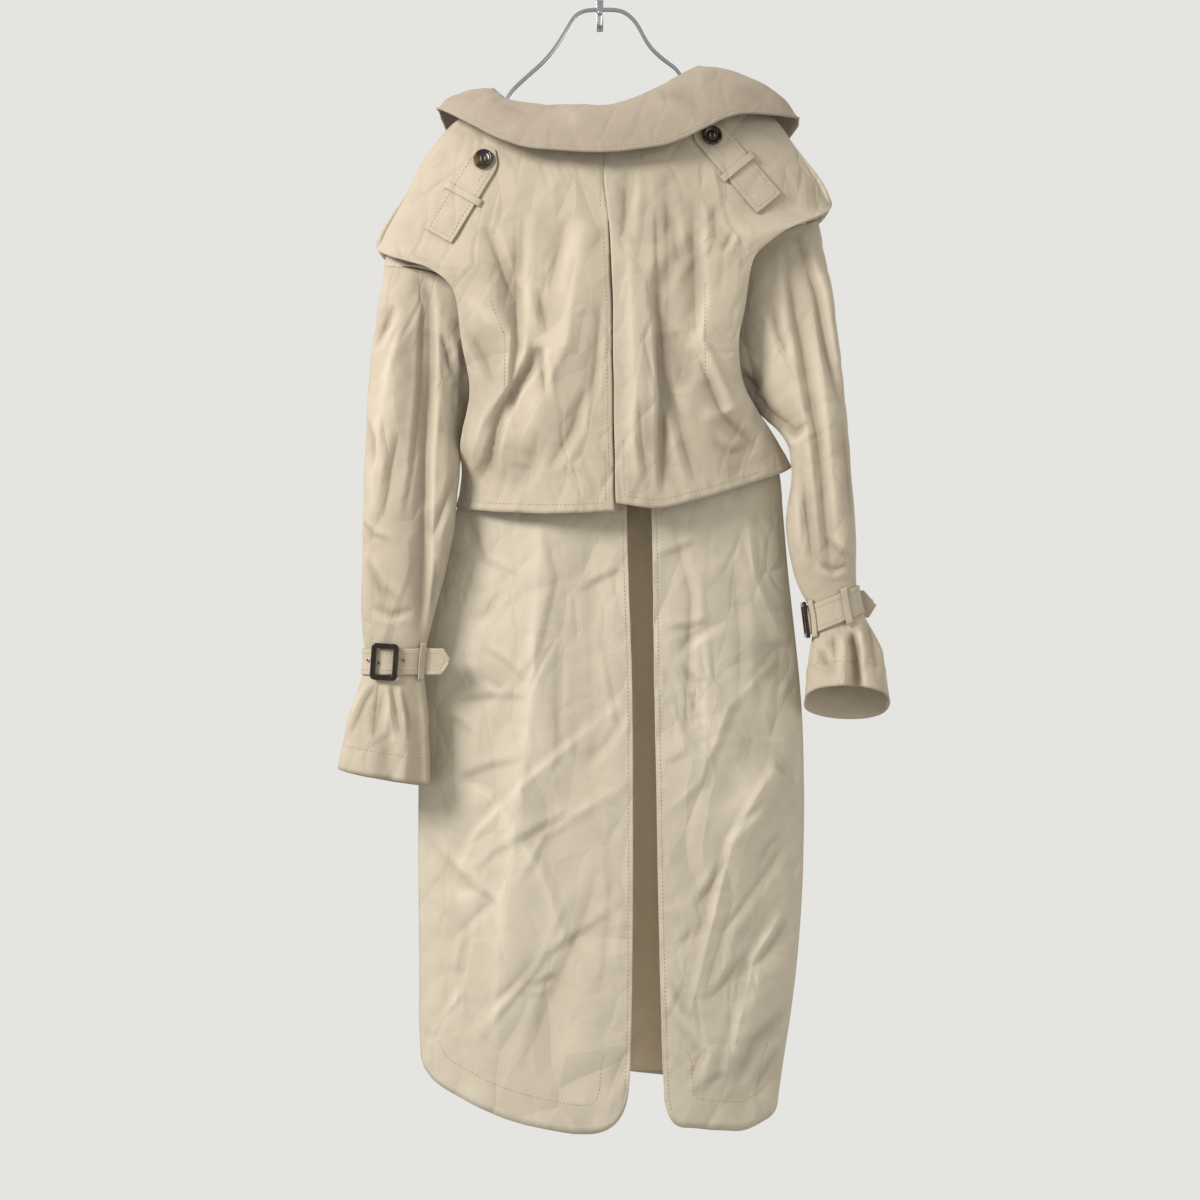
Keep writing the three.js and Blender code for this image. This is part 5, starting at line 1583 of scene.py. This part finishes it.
@dataclass
class Eyelets:
    """Small metal rings pressed into a cuff strap, each with a near-black disc of painted shade in its hole."""

    name: str
    cloth: str
    places: tuple[tuple[float, float], ...]
    outer: float = 2.6
    tube: float = 0.75
    floor: float = 0.3

    def _spots(self, tree: BVHTree) -> Iterable[tuple[Vector, Vector]]:
        """Finds the strap under each eyelet.

        Args:
            tree: Search tree of the strap.

        Yields:
            A point of the strap and the way out of it.
        """
        for x, z in self.places:
            spot, normal, *_ = tree.ray_cast(Vector((x * MM, -LOOK_FROM, z * MM)), Vector((0, 1, 0)))
            if spot is None:
                LOG.info("no strap under eyelet at %.0f, %.0f", x, z)
            else:
                yield spot, normal if normal.y < 0 else -normal

    def build(self, tailor: Tailor, metal: bpy.types.Material, dark: bpy.types.Material) -> None:
        """Makes the rings on the strap, as one piece.

        Args:
            tailor: Holder of the strap.
            metal: Finish of the rings.
            dark: Painted shade for the holes.
        """
        bm = bmesh.new()
        reach = (self.outer - self.tube) * MM
        for spot, out in self._spots(tailor.sheets[self.cloth].tree()):
            pose = Matrix.Translation(spot) @ out.to_track_quat("Z", "Y").to_matrix().to_4x4()
            upright = Matrix.Translation((reach, 0, 0)) @ Matrix.Rotation(math.pi / 2, 4, "X")
            ring = bmesh.ops.create_circle(bm, segments=8, radius=self.tube * MM, matrix=upright)["verts"]
            edges = list({e for v in ring for e in v.link_edges})
            full_spin(bm, ring + edges, steps=20)
            fresh = [v for v in bm.verts if not v.tag]
            disc = bmesh.ops.create_cone(bm, cap_ends=True, segments=12, radius1=reach, radius2=reach,
                                         depth=self.floor * MM)["verts"]
            # A near-black disc in the ring as painted shade of the hole.
            for face in {f for v in disc for f in v.link_faces}:
                face.material_index = 1
            bmesh.ops.transform(bm, matrix=pose, verts=fresh + disc)
            for vert in fresh + disc:
                vert.tag = True
        closed_up(bm)
        make_piece(self.name, bm, [metal, dark])


@dataclass(frozen=True)
class Lamp:
    """A soft square light that shines on the coat's middle. Its side is in metres, its power in watts."""

    name: str
    place: tuple[float, float, float]
    side: float
    power: float

    def build(self) -> None:
        """Hangs the light."""
        light = bpy.data.lights.new(self.name, "AREA")
        light.size = self.side
        light.energy = self.power
        lamp = placed(self.name, light)
        lamp.location = self.place
        aim = Vector((0.0, -0.06, -0.6)) - Vector(self.place)
        lamp.rotation_euler = aim.to_track_quat("-Z", "Y").to_euler()


@dataclass
class Studio:
    """Floor, lights, sky and camera. Its places and sizes are in metres, the lens in millimetres."""

    eye: tuple[float, float, float] = (0.0, -2.21, -0.6633)
    lens: float = 58.33
    sensor: float = 36.0
    floor_height: float = -1.85
    floor_size: float = 3.2
    lamps: tuple[Lamp, ...] = (
        Lamp("key", (-2.4, -1.7, 1.0), side=1.0, power=146.0),
        Lamp("fill", (2.4, -2.2, -0.2), side=2.4, power=26.0),
        Lamp("rear", (1.2, 2.6, 0.6), side=2.0, power=40.0),
    )

    def build(self) -> None:
        """Sets up everything round the coat."""
        self._floor()
        for lamp in self.lamps:
            lamp.build()
        world = bpy.data.worlds.new("pale_room")
        world.use_nodes = True
        background = world.node_tree.nodes["Background"]
        background.inputs["Color"].default_value = (*Palette.WORLD.value, 1.0)
        background.inputs["Strength"].default_value = 1.0
        scene = bpy.context.scene
        scene.world = world
        scene.view_settings.view_transform = "Standard"
        camera = bpy.data.cameras.new("camera")
        camera.lens = self.lens
        camera.sensor_width = self.sensor
        scene.camera = placed("camera", camera)
        scene.camera.location = self.eye
        scene.camera.rotation_euler = (math.radians(90.0), 0.0, 0.0)

    def _floor(self) -> None:
        """Lays the floor."""
        bm = bmesh.new()
        bmesh.ops.create_grid(bm, x_segments=2, y_segments=2, size=self.floor_size / 2,
                              matrix=Matrix.Translation((0, 0, self.floor_height)))
        mesh = bpy.data.meshes.new("floor")
        bm.to_mesh(mesh)
        bm.free()
        mesh.materials.append(FloorFinish("pale_floor").make())
        placed("floor", mesh)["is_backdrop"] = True


# ---------- the coat ----------
def skirt_plans() -> list[SkinPlan]:
    """The coat's body under the cape.

    Returns:
        The plans.
    """
    hem_edge = (-400.0, 400.0, -1300.0, -1172.0)
    hem_inset, under_cape = 32.0, -548.0
    hem = EdgeRow(hem_inset, (-400.0, 400.0, -1260.0, -1010.0), rim=hem_edge)
    buttons = tuple(f"front_button_{c}_{r}" for c in (1, 2) for r in (1, 2, 3))
    return [
        SkinPlan("back_pleat", (0.18, 0.70), "hung", ("back_left", "back_right"), waves=0.6, levels=2,
                 sink=4.5, palette=Palette.PLEAT_PAINTED_LIGHT),
        SkinPlan("back_left", (0.36, 1.13), "hung", ("hanger_wire",), area=0.24, sunk_above=under_cape,
                 rows=(EdgeRow(hem_inset, (-182.0, 8.0, -1260.0, -1010.0), rim=hem_edge),
                       EdgeRow(5.0, (-40.0, 60.0, -1220.0, -560.0)))),
        SkinPlan("back_right", (0.33, 1.13), "hung", ("hanger_wire",), area=0.19, sunk_above=under_cape,
                 rows=(EdgeRow(hem_inset, (92.0, 186.0, -1260.0, -1010.0), rim=hem_edge),
                       EdgeRow(5.0, (20.0, 90.0, -1220.0, -560.0)))),
        SkinPlan("front_left", (0.38, 1.10), "hung", ("hanger_wire",), area=0.25, facing=Facing.FRONT,
                 rows=(hem, EdgeRow(6.0, (-60.0, 120.0, -1240.0, -200.0)))),
        SkinPlan("front_right", (0.42, 1.10), "hung", ("front_left", "hanger_wire"), area=0.275,
                 facing=Facing.FRONT, riders=buttons,
                 rows=(hem, EdgeRow(6.0, (-120.0, 60.0, -1240.0, -200.0)))),
    ]


def cape_plans() -> list[SkinPlan]:
    """The storm cape.

    Returns:
        The plans.
    """
    side_seam = FreeRow(((-119, -338), (-104, -376), (-103, -387), (-104, -432), (-106, -472),
                         (-131, -514), (-154, -536)))
    back_seam = FreeRow(((0, -181), (0, -236)))
    dart = FreeRow(((114, -319), (113, -371), (114, -425)))
    cape_hem = 9.5
    return [
        SkinPlan("cape_pleat", (0.04, 0.40), "hung", ("cape_back_left",), waves=0.4, sink=2.5,
                 palette=Palette.PLEAT_PAINTED_LIGHT),
        SkinPlan("cape_back_left", (0.27, 0.42), "hung", ("back_left",), area=0.087,
                 riders=("epaulet_left", "epaulet_loop_left", "epaulet_button_left"), palette=Palette.UPPER_PAINTED_SHADE,
                 rows=(EdgeRow(cape_hem, (-200.0, 60.0, -570.0, -500.0)),
                       EdgeRow(6.0, (-20.0, 60.0, -520.0, -260.0))),
                 lines=(side_seam, back_seam)),
        SkinPlan("cape_back_right", (0.27, 0.42), "hung", ("back_right",), area=0.084,
                 riders=("epaulet_right", "epaulet_loop_right", "epaulet_button_right"),
                 palette=Palette.UPPER_PAINTED_SHADE, lines=(dart,), rows=(EdgeRow(cape_hem, (0.0, 240.0, -570.0, -490.0)),)),
        SkinPlan("cape_front_left", (0.20, 0.28), "hung", ("front_left",), area=0.041, facing=Facing.FRONT,
                 waves=0.7, rows=(EdgeRow(cape_hem),)),
        SkinPlan("cape_front_right", (0.20, 0.30), "hung", ("front_right",), area=0.044, facing=Facing.FRONT,
                 waves=0.7, rows=(EdgeRow(cape_hem),)),
    ]


def sleeve_plans() -> list[SkinPlan]:
    """The sleeves and the collar.

    Returns:
        The plans.
    """
    left_riders, right_riders = (
        (f"cuff_strap_{side}", f"cuff_loop_{side}_1", f"cuff_loop_{side}_2") for side in ("left", "right"))
    cuff_hem = 27.0
    cuff_seam = FreeRow(((-241, -748), (-243, -780), (-246, -812)))
    shoulder_seam = FreeRow(((-241, -293), (-196, -296)))
    return [
        SkinPlan("sleeve_left", (0.30, 0.60), "hung", ("cape_back_left",), area=0.145,
                 facing=Facing.ROUND_SELF, riders=left_riders, palette=Palette.UPPER_PAINTED_SHADE,
                 rows=(EdgeRow(cuff_hem, (-320.0, -180.0, -890.0, -780.0)),),
                 lines=(cuff_seam, shoulder_seam)),
        SkinPlan("sleeve_right", (0.30, 0.58), "hung", ("cape_back_right",), area=0.125,
                 facing=Facing.ROUND_SELF, riders=right_riders, palette=Palette.UPPER_PAINTED_SHADE,
                 rows=(EdgeRow(cuff_hem, (180.0, 340.0, -800.0, -690.0)),)),
        SkinPlan("collar_stand", (0.05, 0.44), "folded", ("back_left",), facing=Facing.ROUND_SELF, waves=0.3,
                 levels=2, area=0.0075, palette=Palette.COLLAR),
        SkinPlan("collar_leaf", (0.13, 0.56), "folded", ("collar_stand",), area=0.062, facing=Facing.UP,
                 waves=0.6, pointed=True, rows=(EdgeRow(5.5, (-400.0, 400.0, -240.0, -100.0)),),
                 palette=Palette.COLLAR),
    ]


def strap_plans(side: str, buttonhole: FreeRow) -> list[SkinPlan]:
    """The shoulder strap and the cuff strap of one side, with their loops.

    Args:
        side: "left" or "right".
        buttonhole: Stitches of the shoulder strap's buttonhole.

    Returns:
        The plans.
    """
    strap = {"waves": 0.25, "rows": (EdgeRow(5.0),), "pointed": True, "palette": Palette.UPPER_PAINTED_SHADE}
    keeper = {"wall": KEEPER_WALL, "waves": 0.0, "levels": 2, "palette": Palette.UPPER_PAINTED_SHADE}
    loops = tuple(f"cuff_loop_{side}_{k}" for k in (1, 2))
    return [
        SkinPlan(f"epaulet_{side}", (0.037, 0.13), "laid", (f"cape_back_{side}",), lines=(buttonhole,),
                 riders=(f"epaulet_button_{side}", f"epaulet_loop_{side}"), **strap),
        SkinPlan(f"epaulet_loop_{side}", (0.01, 0.055), "laid", (f"epaulet_{side}",), **keeper),
        SkinPlan(f"cuff_strap_{side}", (0.032, 0.22), "laid", (f"sleeve_{side}",),
                 facing=Facing.ROUND_SLEEVE, riders=(f"cuff_buckle_{side}", *loops), **strap),
        *(SkinPlan(loop, (0.01, 0.05), "laid", (f"cuff_strap_{side}",), area=0.0004,
                   facing=Facing.ROUND_SLEEVE, **keeper) for loop in loops),
    ]


def cloth_plans() -> list[SkinPlan]:
    """What every cloth piece of the coat is, from the inner layers out.

    Returns:
        The plans.
    """
    return [
        *skirt_plans(), *cape_plans(), *sleeve_plans(),
        *strap_plans("left", FreeRow(((-127, -193), (-133, -206)))),
        *strap_plans("right", FreeRow(((127, -167), (135, -178)))),
    ]


@dataclass
class Coat:
    """The whole coat with its hanger and hook."""

    frame: dict
    epaulet_button: float = 11.3
    front_button: float = 12.3

    def build(self) -> None:
        """Builds every sub-assembly in order."""
        cloth = {
            Palette.CLOTH: ClothFinish("beige_twill", Palette.CLOTH.value).make(),
            Palette.UPPER_PAINTED_SHADE: ClothFinish("cape_twill_painted_shade", Palette.UPPER_PAINTED_SHADE.value).make(),
            Palette.COLLAR: ClothFinish("collar_twill", Palette.COLLAR.value, relief=0.0021).make(),
            Palette.PLEAT_PAINTED_LIGHT: ClothFinish("pleat_twill_painted_light", Palette.PLEAT_PAINTED_LIGHT.value).make(),
        }
        tailor = Tailor(self.frame, cloth_plans(), ThreadFinish("thread").make(), cloth)
        tailor.build()
        self._fastenings(tailor)
        self._hanger()

    def _fastenings(self, tailor: Tailor) -> None:
        """Buttons, buckles and eyelets.

        Args:
            tailor: Holder of the cloth they lie on.
        """
        horn = HornFinish("dark_horn", Palette.HORN_DARK.value, Palette.HORN_LIGHT.value).make()
        tortoise = HornFinish("dark_tortoise", Palette.TORTOISE_DARK.value, Palette.TORTOISE_LIGHT.value,
                              veins=90.0, share=0.54).make()
        # Near-black finish for the button and eyelet holes: painted shade.
        painted_hole_shade = HornFinish("hole_shade", (0.004, 0.003, 0.003), (0.01, 0.008, 0.006)).make()
        eyelet = MetalFinish("dark_metal", Palette.EYELET.value, 0.3).make()
        for side in ("left", "right"):
            Button(f"epaulet_button_{side}", self.epaulet_button, Vector((0, -1, 0))).build(
                self.frame, horn, painted_hole_shade, tailor.thread)
            node = f"cuff_buckle_{side}"
            buckle = soft_copy(self.frame, node, f"{node}_cast", tortoise, levels=0, bevel=1.3)
            LOG.info("buckle %s: %d faces", side, len(buckle.data.polygons))
        for c in (1, 2):
            for r in (1, 2, 3):
                Button(f"front_button_{c}_{r}", self.front_button, Vector((0, 1, 0))).build(
                    self.frame, horn, painted_hole_shade, tailor.thread)
        Eyelets("cuff_eyelets_left", "cuff_strap_left", ((-213, -729), (-240, -732), (-252, -729))).build(
            tailor, eyelet, painted_hole_shade)

    def _hanger(self) -> None:
        """Wire, peg and plate of the hanger and hook."""
        chrome = MetalFinish("bright_chrome", Palette.CHROME.value, 0.10).make()
        soft_copy(self.frame, "hanger_wire", "hanger_wire_round", chrome, levels=2, swell=0.15)
        soft_copy(self.frame, "hook_peg", "hook_peg_round", chrome, levels=2, swell=0.1)
        soft_copy(self.frame, "hook_plate", "hook_plate_eased", chrome, levels=0, bevel=0.6)
        LOG.info("hanger and hook built")


def main() -> list[list[float]]:
    """Builds the coat and its studio.

    Returns:
        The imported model's box, as plain lists.
    """
    logging.basicConfig(level=logging.INFO, format="%(name)s: %(message)s")
    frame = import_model()
    packed = [[float(v) for v in corner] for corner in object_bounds()]
    Coat(frame).build()
    Studio().build()
    LOG.info("studio built")
    return packed


if __name__ == "__main__":
    cad_box = main()
